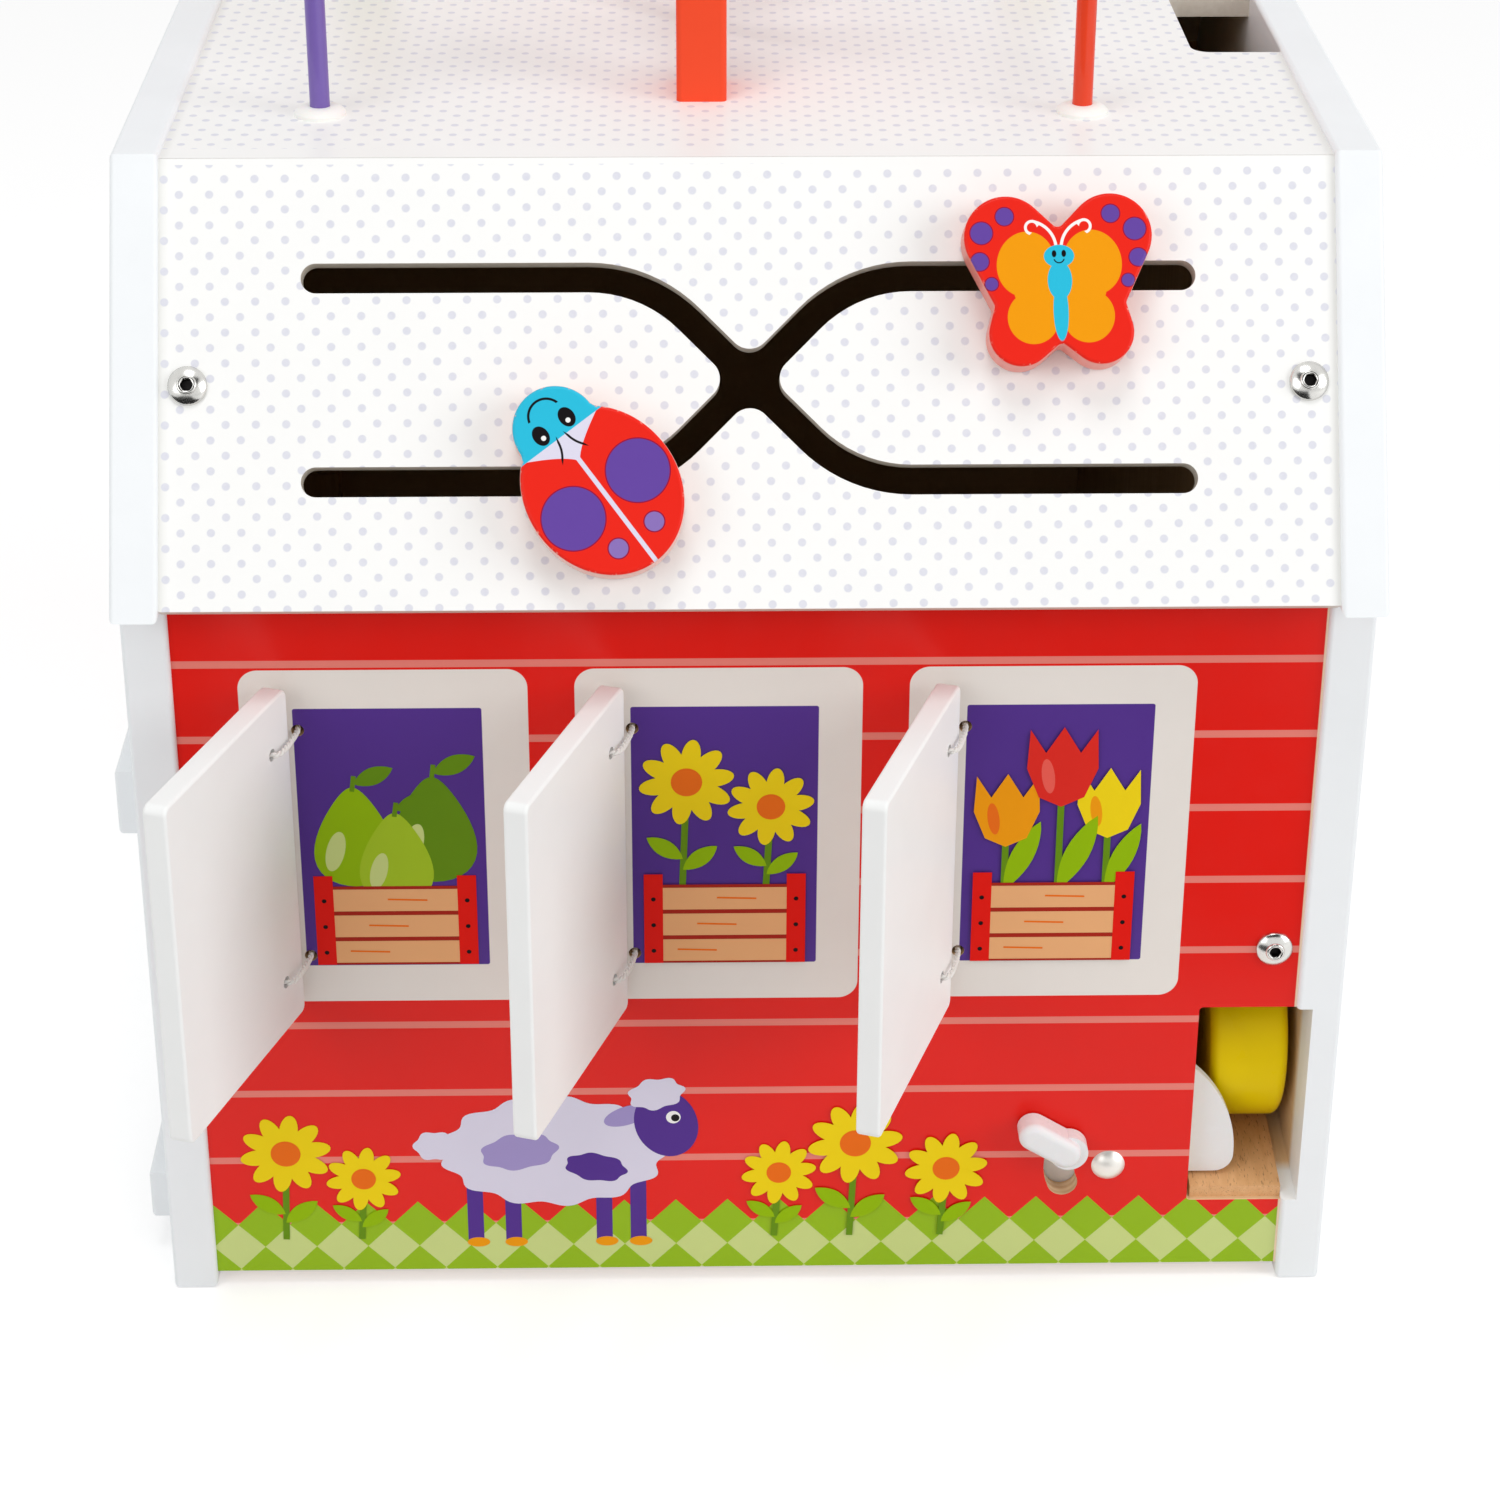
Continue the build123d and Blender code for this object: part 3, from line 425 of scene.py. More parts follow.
def ladybug_material():
    """Red wings with spots, a pale collar and a blue head with a face."""
    origin, side, head = figure_place(*ladybug_place)
    paint = Paint("ladybug_print")
    u, v, lift = (paint.along(axis, origin) for axis in (side, head, roof_out))
    wide = paint.math("ABSOLUTE", u)
    color = paint.mix(paint.under(wide, 0.55), FIGURE_RED, PALE_LILAC)
    for cx, cy, radius, ink in ((9.5, -5.6, 7.5, SPOT), (5.3, -17.6, 2.3, PALE_SPOT)):
        color = paint.mix(paint.disc(wide, v, cx, cy, radius + 0.3), color, SPOT_RIM)
        color = paint.mix(paint.disc(wide, v, cx, cy, radius), color, ink)
    shoulder = paint.math("MULTIPLY", paint.math("POWER", paint.math("DIVIDE", wide, 10.4), 0.7), 7.6)
    shoulder = paint.math("ADD", shoulder, 4.1)
    color = paint.mix(paint.under(paint.math("SUBTRACT", shoulder, v), 0.0), color, PALE_LILAC)
    color = paint.mix(paint.under(paint.math("SUBTRACT", 11.6, v), 0.0), color, BLUE)
    color = paint.mix(paint.disc(wide, v, 3.8, 14.6, 1.9, 2.5), color, BLACK)
    color = paint.mix(paint.disc(wide, v, 3.6, 13.8, 0.6), color, WHITE)
    color = paint.mix(paint.arc(wide, v, 9.27, 12.14, 7.93, 0.55, (5.2, 2.25, 33.6)), color, BLACK)
    color = paint.mix(paint.arc(u, v, 0.0, 17.6, 4.2, 0.6, (0.0, -1.0, -18.7)), color, BLACK)
    return figure_finish(paint, color, lift, srgb(248, 208, 198), srgb(240, 178, 166))


def butterfly_material():
    """Red wings with orange fields and spots, and a blue body with feelers."""
    origin, side, head = figure_place(*butterfly_place)
    paint = Paint("butterfly_print")
    u, v, lift = (paint.along(axis, origin) for axis in (side, head, roof_out))
    wide = paint.math("ABSOLUTE", u)
    field = paint.joined(
        paint.disc(wide, v, 7.9, 1.1, 6.9, 7.8, 12),
        paint.disc(wide, v, 6.6, -11.7, 6.1, 6.3, -10),
        paint.disc(wide, v, 5.4, -5.6, 5.5, 4.2),
    )
    color = paint.mix(field, FIGURE_RED, ORANGE)
    for cx, cy, radius in ((12.6, 12.6, 2.1), (18.2, 8.8, 2.6), (18.8, 2.0, 2.1), (16.2, -3.4, 1.5)):
        color = paint.mix(paint.disc(wide, v, cx, cy, radius + 0.25), color, SPOT_RIM)
        color = paint.mix(paint.disc(wide, v, cx, cy, radius), color, SPOT)
    color = paint.mix(paint.arc(wide, v, 7.4, 4.6, 6.8, 0.7, (7.2, -5.2, -16.5)), color, WHITE)
    color = paint.mix(paint.arc(wide, v, 6.2, 9.8, 1.5, 0.65, (-0.7, -0.7, -10.4)), color, WHITE)
    body = paint.joined(
        paint.disc(u, v, 0.0, 2.8, 3.6, 2.7),
        paint.disc(u, v, 0.0, -3.0, 2.9, 4.6),
        paint.disc(u, v, 0.0, -10.4, 1.8, 7.0),
    )
    color = paint.mix(body, color, BLUE)
    color = paint.mix(paint.disc(wide, v, 1.15, 3.4, 0.55, 0.85), color, BLACK)
    color = paint.mix(paint.arc(u, v, 0.0, 2.4, 1.2, 0.3, (0.0, 1.0, 2.1)), color, BLACK)
    return figure_finish(paint, color, lift, srgb(244, 164, 152), srgb(236, 132, 120))


def cord_material():
    paint = Paint("twisted_cord")
    fibre = paint.noise((3.0, 3.0, 9.0), 4.0)
    paint.set(Base_Color=paint.mix(fibre, srgb(252, 251, 248), srgb(222, 218, 212)))
    paint.set(Roughness=paint.spread(fibre, 0.7, 0.9), Sheen_Weight=0.2)
    paint.bumps(fibre, 0.08, 0.6)
    return paint.material


def mirrored(place):
    """The same place or direction at the back of the barn."""
    return Vector((place.x, -place.y, place.z))


def new_piece(name, mesh, materials):
    """A new object made from a mesh under construction."""
    data = bpy.data.meshes.new(name)
    mesh.to_mesh(data)
    mesh.free()
    for material in materials:
        data.materials.append(material)
    piece = bpy.data.objects.new(name, data)
    bpy.context.scene.collection.objects.link(piece)
    return piece


def new_sheet(name, corners, material):
    """A new flat object with four corners."""
    data = bpy.data.meshes.new(name)
    data.from_pydata(corners, [], [(0, 1, 2, 3)])
    data.materials.append(material)
    piece = bpy.data.objects.new(name, data)
    bpy.context.scene.collection.objects.link(piece)
    return piece


# Surfaces of the CAD pieces
white = painted("white_board", BOARD_WHITE, 0.32, 0.46, 0.02, (0.7, 0.7, 0.25))
door_white = painted("door_white", srgb(250, 251, 250), 0.4, 0.55, 0.04, (1.2, 1.2, 0.2))
beech = wood_material("beech", srgb(236, 190, 140), srgb(212, 158, 108), (0.5, 0.06, 0.5), 0.5)
ply = wood_material("ply_face", srgb(206, 168, 122), srgb(184, 142, 98), (0.35, 0.35, 0.03))
floor_ply = wood_material("ply_floor", srgb(206, 168, 122), srgb(184, 142, 98), (0.03, 0.4, 0.4))
dowel = wood_material("dowel", srgb(226, 188, 140), srgb(202, 158, 110), (0.6, 0.1, 0.1))
yellow = painted("yellow_paint", srgb(254, 222, 0), 0.24, 0.34, 0.02, (0.5, 0.5, 0.5), 0.95)
blue = painted("blue_paint", srgb(38, 110, 190), 0.18, 0.28)
green = painted("green_paint", srgb(126, 176, 30), 0.18, 0.28)
orange = painted("orange_paint", srgb(248, 80, 46), 0.3, 0.42)
plastic_white = plastic("white_plastic", srgb(240, 240, 241))
collar_white = plastic("collar_plastic", srgb(250, 248, 243), 0.3, 0.42)
washer = plastic("washer_plastic", srgb(206, 206, 206), 0.4, 0.55)
nickel = metal("nickel", srgb(222, 221, 217))
rivet_nickel = metal("rivet_nickel", srgb(238, 236, 230), 0.36, 0.46)
purple_coat = coated_wire("purple_coat", srgb(124, 100, 178))
red_coat = coated_wire("red_coat", srgb(236, 68, 34))
finishes = {
    "left_side_panel": white, "upper_rail": white, "lower_rail": white, "side_door": white,
    "right_side_panel": right_board_material(),
    "front_wall": wall_material("front_print", -1, True),
    "back_wall": wall_material("back_print", 1, False),
    "front_roof_panel": dot_material(
        "roof_print", up_slope, roof_foot, roof_out, slope_length, roof_bare, roof_dots,
    ),
    "back_roof_panel": dot_material(
        "back_roof_print", mirrored(up_slope), mirrored(roof_foot), mirrored(roof_out),
        slope_length, roof_bare, roof_dots,
    ),
    "top_panel": dot_material(
        "top_print", Vector((0, 1, 0)), Vector((0, 0, top_height)), Vector((0, 0, 1)),
        top_half, top_bare, top_dots,
    ),
    "floor_panel": floor_ply, "chute_partition": ply,
    "upper_ramp": beech, "middle_ramp": beech, "exit_ramp": beech,
    "wall_cleats": dowel, "roof_cleats": dowel, "ladybug_stem": dowel, "butterfly_stem": dowel,
    "ladybug_keeper": washer, "butterfly_keeper": washer,
    "roller": yellow, "purple_lower_bead": yellow, "red_upper_bead": yellow,
    "purple_upper_bead": blue, "red_lower_bead": green,
    "gate_lever": plastic_white, "lever_knob": plastic_white, "wire_collars": collar_white,
    "left_door": door_white, "middle_door": door_white, "right_door": door_white,
    "arch_screws": nickel, "gate_rivet": rivet_nickel,
    "purple_wire": purple_coat, "red_wire": red_coat, "arch": orange,
    "ladybug": ladybug_material(), "butterfly": butterfly_material(),
}
for name, material in finishes.items():
    for slot in nodes[name].material_slots:
        slot.material = material


# Pictures printed on the front wall: thin films of ink, one above another
first_film, next_film = 0.03, 0.006


class Print:
    """Flat shapes in several inks that become one piece on the wall."""

    def __init__(self, name):
        self.name = name
        self.mesh = bmesh.new()
        self.inks = []
        self.layer = 0

    def ink(self, color):
        if color not in self.inks:
            self.inks.append(color)
        return self.inks.index(color)

    def shape(self, color, points):
        """A filled outline in wall coordinates, on top of what is there."""
        self.layer += 1
        y = wall_front - first_film - next_film * self.layer
        loop = [self.mesh.verts.new((px * MM, y * MM, pz * MM)) for px, pz in points]
        face = self.mesh.faces.new(loop)
        face.normal_update()
        if face.normal.y > 0:
            face.normal_flip()
        face.material_index = self.ink(color)

    def oval(self, color, cx, cz, rx, rz=None, turn=0.0, bumps=0, depth=0.0, steps=48):
        rz = rz or rx
        c, s = math.cos(math.radians(turn)), math.sin(math.radians(turn))
        points = []
        for n in range(steps):
            angle = 2 * math.pi * n / steps
            grow = 1 + depth * math.cos(bumps * angle)
            px, pz = rx * grow * math.cos(angle), rz * grow * math.sin(angle)
            points.append((cx + px * c - pz * s, cz + px * s + pz * c))
        self.shape(color, points)

    def bar(self, color, low, high):
        self.shape(color, [low, (high[0], low[1]), high, (low[0], high[1])])

    def stroke(self, color, points, wide):
        """A line of even width through a few points."""
        left, right = [], []
        for n, point in enumerate(points):
            before, after = points[max(n - 1, 0)], points[min(n + 1, len(points) - 1)]
            run = Vector((after[0] - before[0], after[1] - before[1])).normalized() * wide / 2
            left.append((point[0] - run.y, point[1] + run.x))
            right.append((point[0] + run.y, point[1] - run.x))
        self.shape(color, left + right[::-1])

    def leaf(self, color, x, z, long, wide, turn):
        """A pointed leaf that starts at a point and runs out at an angle."""
        c, s = math.cos(math.radians(turn)), math.sin(math.radians(turn))
        edge = [(t / 10, math.sin(math.pi * t / 10) ** 0.8) for t in range(11)]
        outline = [(long * t, wide / 2 * w) for t, w in edge]
        outline += [(long * t, -wide / 2 * w) for t, w in edge[-2:0:-1]]
        self.shape(color, [(x + a * c - b * s, z + a * s + b * c) for a, b in outline])

    def done(self, inks):
        piece = new_piece(self.name, self.mesh, [inks(color) for color in self.inks])
        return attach(piece, "barn")


ink_materials = {}


def ink_of(color):
    """The material of a printed colour, made once."""
    if color not in ink_materials:
        ink_materials[color] = painted(f"ink_{len(ink_materials)}", color, 0.26, 0.4, 0.015)
    return ink_materials[color]


def crate(sheet, middle):
    """A slatted crate that stands on a window's sill."""
    sheet.bar(srgb(172, 40, 26), (middle - 20, window_sill), (middle + 20, 121))
    for n in range(3):
        low = window_sill + 0.6 + n * 7.5
        sheet.bar(PEACH, (middle - 20, low), (middle + 20, low + 6.3))
        start = middle - 12 + 5 * n
        sheet.stroke(DEEP_ORANGE, [(start, low + 3.4), (start + 10, low + 3.1)], 0.5)
    for side in (-1, 1):
        sheet.bar(RED, (middle + side * 18 - 2.4, window_sill), (middle + side * 18 + 2.4, 124))
        for low in (101.8, 109.3, 116.8):
            sheet.oval(BLACK, middle + side * 18, low, 0.6, steps=12)


def pear(sheet, x, z, size, color, shade):
    """A plump pear with a stalk and a leaf."""
    outline = []
    for n in range(40):
        angle = 2 * math.pi * n / 40
        outline.append((
            x + size * math.sin(angle) * (0.82 - 0.36 * math.cos(angle)),
            z + size * 1.22 * math.cos(angle),
        ))
    sheet.shape(color, outline)
    sheet.oval(shade, x - size * 0.42, z - size * 0.35, size * 0.2, size * 0.5, -14)
    sheet.stroke(DARK_GREEN, [(x, z + size * 1.12), (x + 0.6, z + size * 1.5)], 1.2)
    sheet.leaf(DARK_GREEN, x + 0.4, z + size * 1.3, size * 0.95, size * 0.42, 24)


def daisy(sheet, x, z, size, petals, heart, foot):
    """A round flower on a stem."""
    sheet.stroke(DARK_GREEN, [(x - 1.2, foot), (x - 0.6, (z + foot) / 2), (x, z)], 1.7)
    sheet.leaf(GREEN, x - 1, foot + (z - foot) * 0.2, size * 0.95, size * 0.4, 38)
    sheet.leaf(GREEN, x - 1, foot + (z - foot) * 0.3, size * 0.95, size * 0.4, 146)
    for n in range(10):
        angle = 36 * n + 9
        reach = size * 0.62
        sheet.oval(
            petals,
            x + reach * math.cos(math.radians(angle)),
            z + reach * math.sin(math.radians(angle)),
            size * 0.42, size * 0.21, angle, steps=24,
        )
    sheet.oval(heart, x, z, size * 0.34, steps=32)


def tulip(sheet, x, z, size, color, shade, foot):
    """A cup shaped flower on a stem with one long leaf."""
    sheet.stroke(DARK_GREEN, [(x, foot), (x, z)], 1.7)
    sheet.leaf(GREEN, x, foot, size * 1.7, size * 0.46, 66)
    cup = [(-0.62, 0.9), (-0.66, 0.1), (-0.42, -0.5), (0, -0.7), (0.42, -0.5), (0.66, 0.1), (0.62, 0.9)]
    cup += [(0.32, 0.42), (0, 0.95), (-0.32, 0.42)]
    sheet.shape(color, [(x + size * a, z + size * b) for a, b in cup])
    sheet.oval(shade, x - size * 0.26, z - size * 0.06, size * 0.12, size * 0.36, 8, steps=24)


windows = Print("window_print")
left, middle, right = (window_middle + n * window_pitch for n in (-1, 0, 1))
pear(windows, left - 9.6, 135, 11.5, GREEN, PALE_GREEN)
pear(windows, left + 10.2, 137, 12.2, DARK_GREEN, PALE_GREEN)
pear(windows, left + 0.6, 129, 10.5, srgb(168, 200, 40), PALE_GREEN)
crate(windows, left)
daisy(windows, middle - 9.5, 150, 11.5, YELLOW, DEEP_ORANGE, 119)
daisy(windows, middle + 11.5, 143, 10.5, YELLOW, DEEP_ORANGE, 119)
crate(windows, middle)
tulip(windows, right - 12.5, 140, 12.5, ORANGE, DEEP_ORANGE, 119)
tulip(windows, right + 13, 142, 12.0, YELLOW, ORANGE, 119)
tulip(windows, right + 1, 152, 13.5, srgb(226, 44, 34), srgb(240, 96, 84), 119)
crate(windows, right)
windows.done(ink_of)

meadow = Print("meadow_print")
for x in (-72, -62, -38, -29):
    meadow.bar(PURPLE, (x - 2.1, 12.5), (x + 2.1, 32))
    meadow.oval(ORANGE, x + 0.6, 12.6, 3.0, 1.5, steps=24)
meadow.oval(PALE_LILAC, -82, 43, 5.4, 4.4, 0, 6, 0.08)
meadow.oval(PALE_LILAC, -51, 41, 29, 16.5, 0, 13, 0.045, 156)
meadow.oval(LILAC, -60, 41, 10, 5.4, 8, 7, 0.06, 84)
meadow.oval(PURPLE, -40, 36, 8, 4.2, -10, 7, 0.06, 84)
meadow.oval(LILAC, -31.6, 52, 6.4, 2.8, 200)
meadow.oval(PURPLE, -21.5, 49.5, 8.2, 10.4, 16)
meadow.oval(PALE_LILAC, -24, 58.6, 7.2, 4.6, 12, 7, 0.08, 84)
meadow.oval(WHITE, -19.6, 51.4, 1.9)
meadow.oval(BLACK, -19.1, 51.2, 1.1)
for x, z, size in ((-121, 41, 11.5), (-101, 33, 9.5), (8, 34, 9.5), (28, 43, 12), (52, 35, 10.5)):
    daisy(meadow, x, z, size, YELLOW, DEEP_ORANGE, 14)
meadow.done(ink_of)

# Button head screws: a shallow dome with a raised lip around a six sided socket
# Painted shade: the socket's floor and walls take a near black metal for the shade down in the hole
socket_painted_shade = metal("socket_painted_shade", srgb(52, 50, 50), 0.4, 0.6)
socket_profile = ((0.0, 0.7), (1.36, 0.7), (1.5, 2.3))
lip_profile = ((1.64, 2.52), (1.9, 2.6), (2.2, 2.5), (2.4, 2.22), (2.46, 1.98))
dome_profile = ((3.1, 1.74), (3.8, 1.36), (4.4, 0.98), (4.72, 0.62), (4.75, 0.0))
shank_profile = ((2.0, 0.0), (2.0, -13.0), (0.0, -13.0))
screw_profile = socket_profile + lip_profile + dome_profile + shank_profile
socket_rings = len(socket_profile)
sharp_rings = (1, 7, 12, 13, 14)


def turned_screw(mesh, origin, axis, sides=36):
    """One screw, turned around its axis."""
    across = Vector((1, 0, 0))
    upright = axis.cross(across)
    rings = []
    for n, (radius, height) in enumerate(screw_profile):
        ring = []
        for k in range(sides if radius else 1):
            angle = 2 * math.pi * k / sides
            flat = math.cos(math.pi / 6) / math.cos(angle % (math.pi / 3) - math.pi / 6)
            reach = radius * (flat if n < socket_rings else 1.0)
            spoke = across * math.cos(angle) + upright * math.sin(angle)
            ring.append(mesh.verts.new((origin + axis * height + spoke * reach) * MM))
        rings.append(ring)
    for n, (first, second) in enumerate(zip(rings, rings[1:])):
        for k in range(sides):
            inner = [first[0]] if len(first) == 1 else [first[k - 1], first[k]]
            outer = [second[0]] if len(second) == 1 else [second[k], second[k - 1]]
            face = mesh.faces.new(inner + outer)
            face.smooth = True
            # The socket's faces take the second material, the painted shade
            face.material_index = 1 if n < socket_rings - 1 else 0
    for n in sharp_rings:
        for k in range(sides):
            mesh.edges.get((rings[n][k - 1], rings[n][k])).smooth = False


for node, place, axis in (
    ("wall_screws", Vector((0, wall_front, wall_screw_height)), Vector((0, -1, 0))),
    ("roof_screws", roof_foot + up_slope * roof_screw_reach, roof_out),
):
    mesh = bmesh.new()
    for x in (-screw_x, screw_x):
        front = Vector((x, place.y, place.z))
        turned_screw(mesh, front, axis)
        turned_screw(mesh, mirrored(front), mirrored(axis))
    bmesh.ops.recalc_face_normals(mesh, faces=mesh.faces)
    piece = new_piece(f"button_{node}", mesh, (nickel, socket_painted_shade))
    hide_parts(node)
    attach(piece, "barn")

# Hinge cords: two twisted strands each, from a knot behind the wall into the door
door_turn = math.radians(108.9)
door_along = Vector((math.cos(door_turn), -math.sin(door_turn), 0))
door_inward = Vector((math.sin(door_turn), math.cos(door_turn), 0))
upward = Vector((0, 0, 1))
first_door_edge = -122.5
hole_from_edge = 11.3
mouth_from_edge = 4.0
mouth_reach = 6.0
door_off_wall = 6.03
door_middle_depth = 4.53
cord_heights = (100.95, 164.95)
# Points of a cord's route: inward from the middle of the door, and back from the wall's face
door_steps = (-5.6, -1.5, 2.2)
wall_steps = (-1.8, 2.5, 7.6)
strand_radius, strand_offset, twist_pitch = 0.42, 0.36, 3.4
knot_y, knot_size, knot_radius, knot_steps = -142.9, 0.52, 0.62, 48
twine = cord_material()


def smooth_route(points):
    """Points read from a smooth curve through the route."""
    curve = bpy.data.curves.new("route", "CURVE")
    curve.dimensions = "3D"
    spline = curve.splines.new("NURBS")
    spline.points.add(len(points) - 1)
    for target, point in zip(spline.points, points):
        target.co = (*point, 1.0)
    spline.order_u = 3
    spline.use_endpoint_u = True
    spline.resolution_u = 16
    holder = bpy.data.objects.new("route", curve)
    data = bpy.data.meshes.new_from_object(holder)
    found = [v.co.copy() for v in data.vertices]
    bpy.data.meshes.remove(data)
    bpy.data.objects.remove(holder)
    bpy.data.curves.remove(curve)
    return found


def tube(mesh, path, radius, sides=8):
    """A closed round tube along points."""
    rings = []
    normal = upward.copy()
    for n, point in enumerate(path):
        run = (path[min(n + 1, len(path) - 1)] - path[max(n - 1, 0)]).normalized()
        normal = (normal - run * normal.dot(run)).normalized()
        across = run.cross(normal)
        rings.append([
            mesh.verts.new(point + (normal * math.cos(a) + across * math.sin(a)) * radius)
            for a in (2 * math.pi * k / sides for k in range(sides))
        ])
    for first, second in zip(rings, rings[1:]):
        for k in range(sides):
            face = mesh.faces.new((first[k], first[k - 1], second[k - 1], second[k]))
            face.smooth = True
    mesh.faces.new(rings[0])
    mesh.faces.new(rings[-1][::-1])


def wound(route, start):
    """Points of a strand that winds round a route, from a starting angle."""
    points = []
    far = 0.0
    for n, point in enumerate(route):
        before = route[max(n - 1, 0)]
        after = route[min(n + 1, len(route) - 1)]
        far += (point - before).length
        across = (after - before).normalized().cross(upward).normalized()
        turn = start + far * 2 * math.pi / twist_pitch
        offset = across * math.cos(turn) + upward * math.sin(turn)
        points.append((point + offset * strand_offset) * MM)
    return points


def knotted(heart):
    """Points of a small trefoil knot around a point."""
    points = []
    for n in range(knot_steps + 1):
        t = 2 * math.pi * n / knot_steps
        loop = Vector((
            math.sin(t) + 2 * math.sin(2 * t),
            -math.sin(3 * t),
            math.cos(t) - 2 * math.cos(2 * t),
        ))
        points.append((heart + knot_size * loop) * MM)
    return points


for number, door in enumerate(("left_door", "middle_door", "right_door")):
    edge = first_door_edge + panel_pitch * number
    corner = Vector((edge + mouth_from_edge, wall_front - door_off_wall, 0))
    mouth = corner + door_inward * door_middle_depth + door_along * mouth_reach
    hole = Vector((edge + hole_from_edge, wall_front, 0))
    mesh = bmesh.new()
    for height in cord_heights:
        up = Vector((0, 0, height))
        stops = [mouth + door_inward * step + up for step in door_steps]
        stops += [hole + Vector((0, step, 0)) + up for step in wall_steps]
        route = smooth_route(stops)
        for start in (0.0, math.pi):
            tube(mesh, wound(route, start), strand_radius * MM)
        tube(mesh, knotted(Vector((hole.x, knot_y, height))), knot_radius * MM)
    bmesh.ops.recalc_face_normals(mesh, faces=mesh.faces)
    piece = new_piece(f"{door}_twine", mesh, (twine,))
    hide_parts(f"{door}_cords")
    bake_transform(piece)

# Floor, light and camera, in metres
floor_half, floor_drop = 15, 0.0004
floor_bounce, floor_shade, floor_glow = 0.74, 0.7, 0.47
sky_light, sky_seen = 0.525, 1.0
lamps = (
    # name, place, aim, size and power in watts
    ("right_box", (1.9, -1.1, 1.0), (0, 0, 0.15), 1.2, 18.2),
    ("left_box", (-1.4, -1.6, 1.0), (0, 0, 0.15), 1.2, 9.2),
    ("key", (-0.1, -0.5, 2.15), (0, 0, 0.2), 0.8, 10.2),
)
cards = (
    ("card_above", [(-1.2, -1.8, 1.25), (1.2, -1.8, 1.25), (1.2, -0.7, 2.05), (-1.2, -0.7, 2.05)]),
    ("card_below", [
        (-1.2, -2.6, 0.001), (0.22, -2.6, 0.001), (0.22, -0.31, 0.001), (-1.2, -0.31, 0.001),
    ]),
)
camera_place = Vector((-17.11, -942.96, 566.04)) * MM
camera_pitch, camera_yaw, camera_roll = (math.radians(a) for a in (27.208, 1.241, -0.204))
camera_lens, camera_sensor = 86.502, 36.0


def grey(value):
    return (value, value, value, 1)


def seen_directly(tree):
    """One for rays from the camera and those that it sees in a mirror or through glass."""
    light_path = tree.nodes.new("ShaderNodeLightPath")
    share = light_path.outputs["Is Camera Ray"]
    for name in ("Is Glossy Ray", "Is Transmission Ray"):
        either = tree.nodes.new("ShaderNodeMath")
        either.operation = "MAXIMUM"
        tree.links.new(share, either.inputs[0])
        tree.links.new(light_path.outputs[name], either.inputs[1])
        share = either.outputs[0]
    return share


def chosen_by(tree, share, first, second):
    """A mix of two shaders."""
    node = tree.nodes.new("ShaderNodeMixShader")
    tree.links.new(share, node.inputs[0])
    tree.links.new(first.outputs[0], node.inputs[1])
    tree.links.new(second.outputs[0], node.inputs[2])
    return node


def floor_finish():
    """White studio floor that keeps the part's shadow."""
    material = bpy.data.materials.new("studio_floor")
    material.use_nodes = True
    tree = material.node_tree
    tree.nodes.clear()
    plain = tree.nodes.new("ShaderNodeBsdfDiffuse")
    plain.inputs["Color"].default_value = grey(floor_bounce)
    shaded = tree.nodes.new("ShaderNodeBsdfDiffuse")
    shaded.inputs["Color"].default_value = grey(floor_shade)
    glow = tree.nodes.new("ShaderNodeEmission")
    glow.inputs["Strength"].default_value = floor_glow
    sum_of_both = tree.nodes.new("ShaderNodeAddShader")
    tree.links.new(shaded.outputs[0], sum_of_both.inputs[0])
    tree.links.new(glow.outputs[0], sum_of_both.inputs[1])
    chosen = chosen_by(tree, seen_directly(tree), plain, sum_of_both)
    out = tree.nodes.new("ShaderNodeOutputMaterial")
    tree.links.new(chosen.outputs[0], out.inputs[0])
    return material


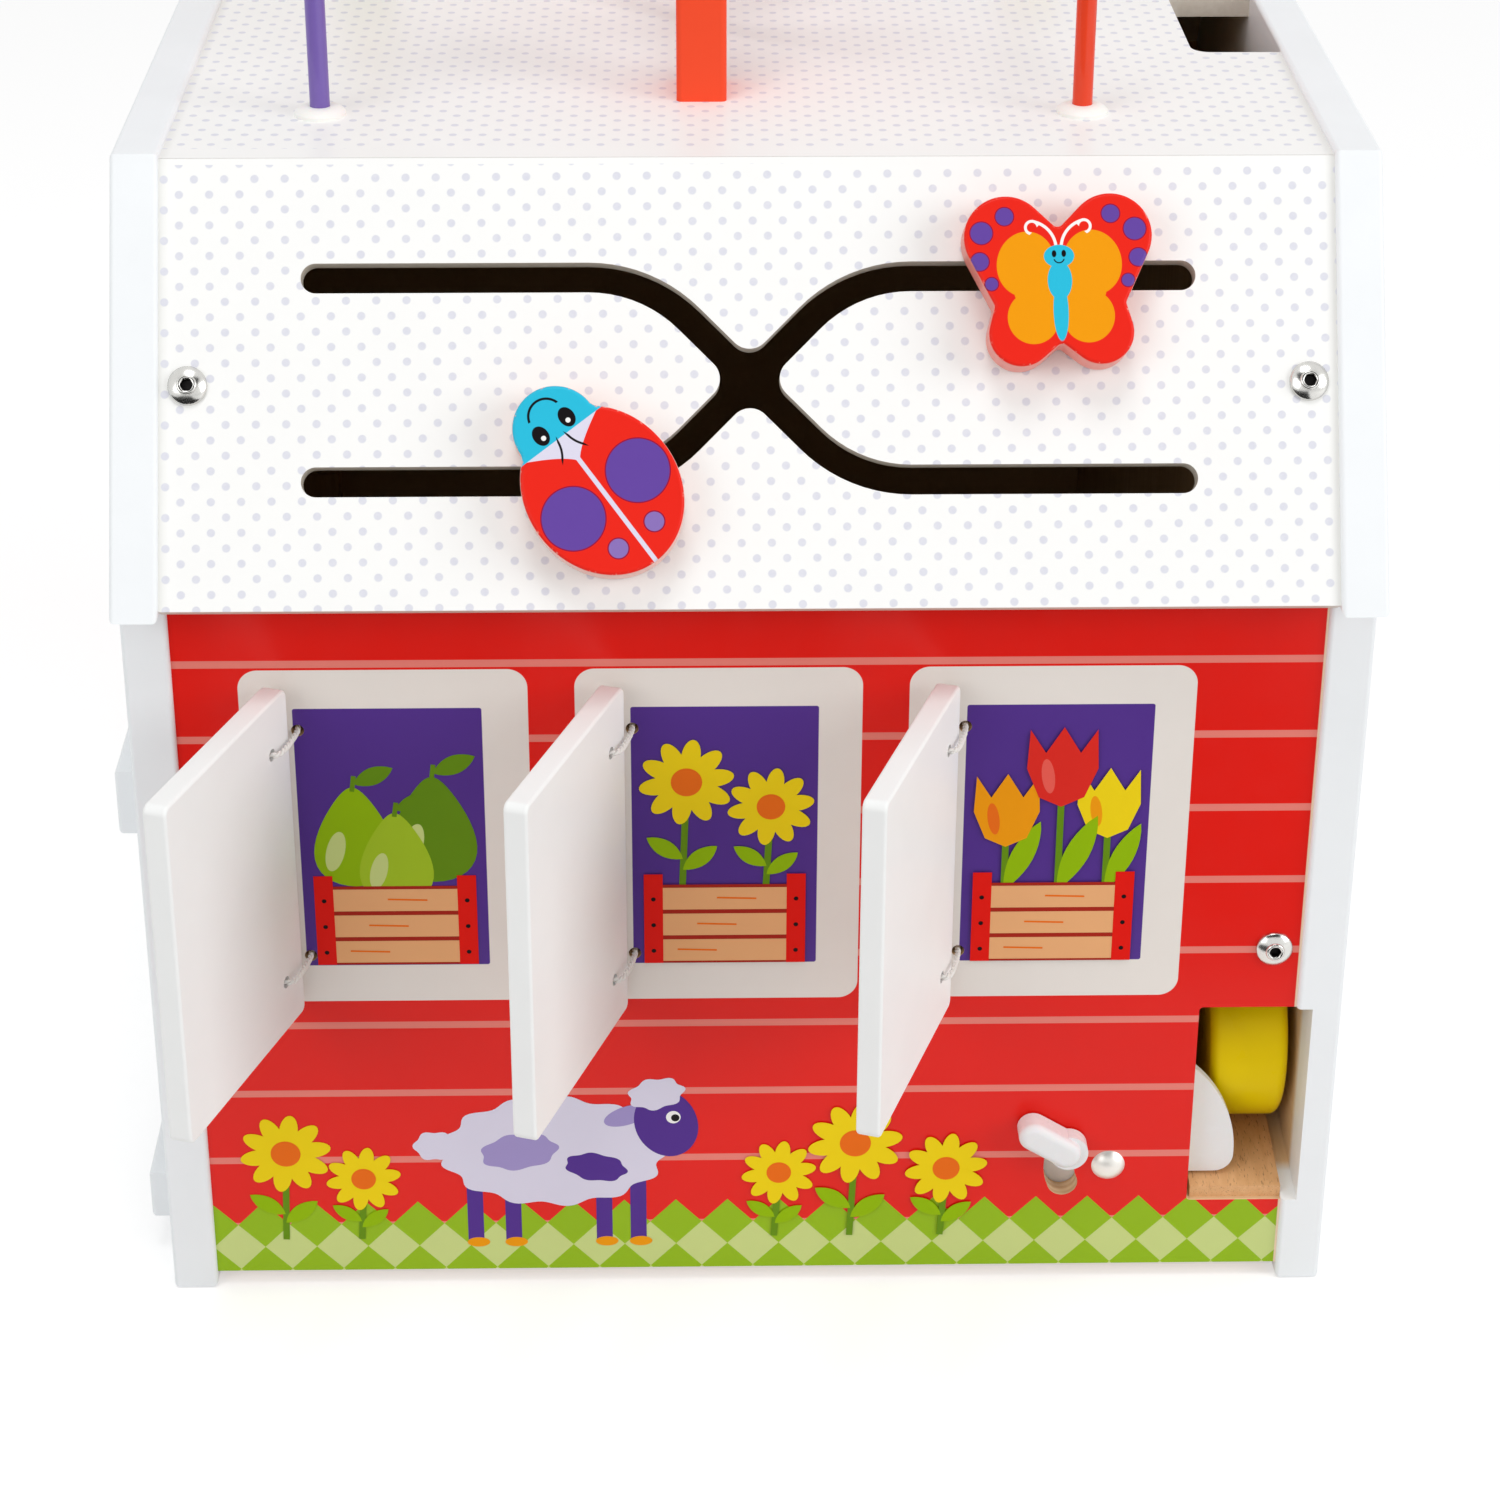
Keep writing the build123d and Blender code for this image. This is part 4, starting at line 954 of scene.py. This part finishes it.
def studio_world():
    """White surroundings that light the part less than they shine in its gloss."""
    world = bpy.data.worlds.new("studio")
    world.use_nodes = True
    tree = world.node_tree
    tree.nodes.clear()
    backgrounds = []
    for strength in (sky_light, sky_seen):
        background = tree.nodes.new("ShaderNodeBackground")
        background.inputs["Color"].default_value = grey(1)
        background.inputs["Strength"].default_value = strength
        backgrounds.append(background)
    chosen = chosen_by(tree, seen_directly(tree), *backgrounds)
    out = tree.nodes.new("ShaderNodeOutputWorld")
    tree.links.new(chosen.outputs[0], out.inputs[0])
    return world


def lamp(name, place, aim, size, power):
    """A square soft box that faces a point."""
    data = bpy.data.lights.new(name, "AREA")
    data.shape = "SQUARE"
    data.size = size
    data.energy = power
    thing = bpy.data.objects.new(name, data)
    thing.location = place
    thing.rotation_mode = "QUATERNION"
    thing.rotation_quaternion = (Vector(aim) - Vector(place)).to_track_quat("-Z", "Y")
    bpy.context.scene.collection.objects.link(thing)


def fitted_camera():
    """The camera that was fitted to the photo's edges."""
    level = math.cos(camera_pitch)
    ahead, aside = math.cos(camera_yaw) * level, math.sin(camera_yaw) * level
    forward = Vector((aside, ahead, -math.sin(camera_pitch)))
    rightward = Vector((math.cos(camera_yaw), -math.sin(camera_yaw), 0))
    downward = forward.cross(rightward)
    right_axis = rightward * math.cos(camera_roll) + downward * math.sin(camera_roll)
    down_axis = downward * math.cos(camera_roll) - rightward * math.sin(camera_roll)
    data = bpy.data.cameras.new("camera")
    data.lens = camera_lens
    data.sensor_width = camera_sensor
    thing = bpy.data.objects.new("camera", data)
    turn = Matrix((right_axis, -down_axis, -forward)).transposed().to_4x4()
    thing.matrix_world = Matrix.Translation(camera_place) @ turn
    bpy.context.scene.collection.objects.link(thing)
    return thing


floor_corners = [(x * floor_half, y * floor_half, 0) for x, y in ((-1, -1), (1, -1), (1, 1), (-1, 1))]
floor = new_sheet("floor", floor_corners, floor_finish())
floor.location.z = -floor_drop
bpy.context.scene.world = studio_world()
for values in lamps:
    lamp(*values)

# Dark cards, seen only in reflections, that give the metal contrast and keep the wall's colours deep
card_material = bpy.data.materials.new("studio_card")
card_material.use_nodes = True
card_shader = card_material.node_tree.nodes["Principled BSDF"]
card_shader.inputs["Base Color"].default_value = grey(0.02)
card_shader.inputs["Specular IOR Level"].default_value = 0.0
for name, corners in cards:
    card = new_sheet(name, corners, card_material)
    card.visible_camera = card.visible_diffuse = card.visible_shadow = False

bpy.context.scene.camera = fitted_camera()
bpy.context.scene.view_settings.view_transform = "Standard"
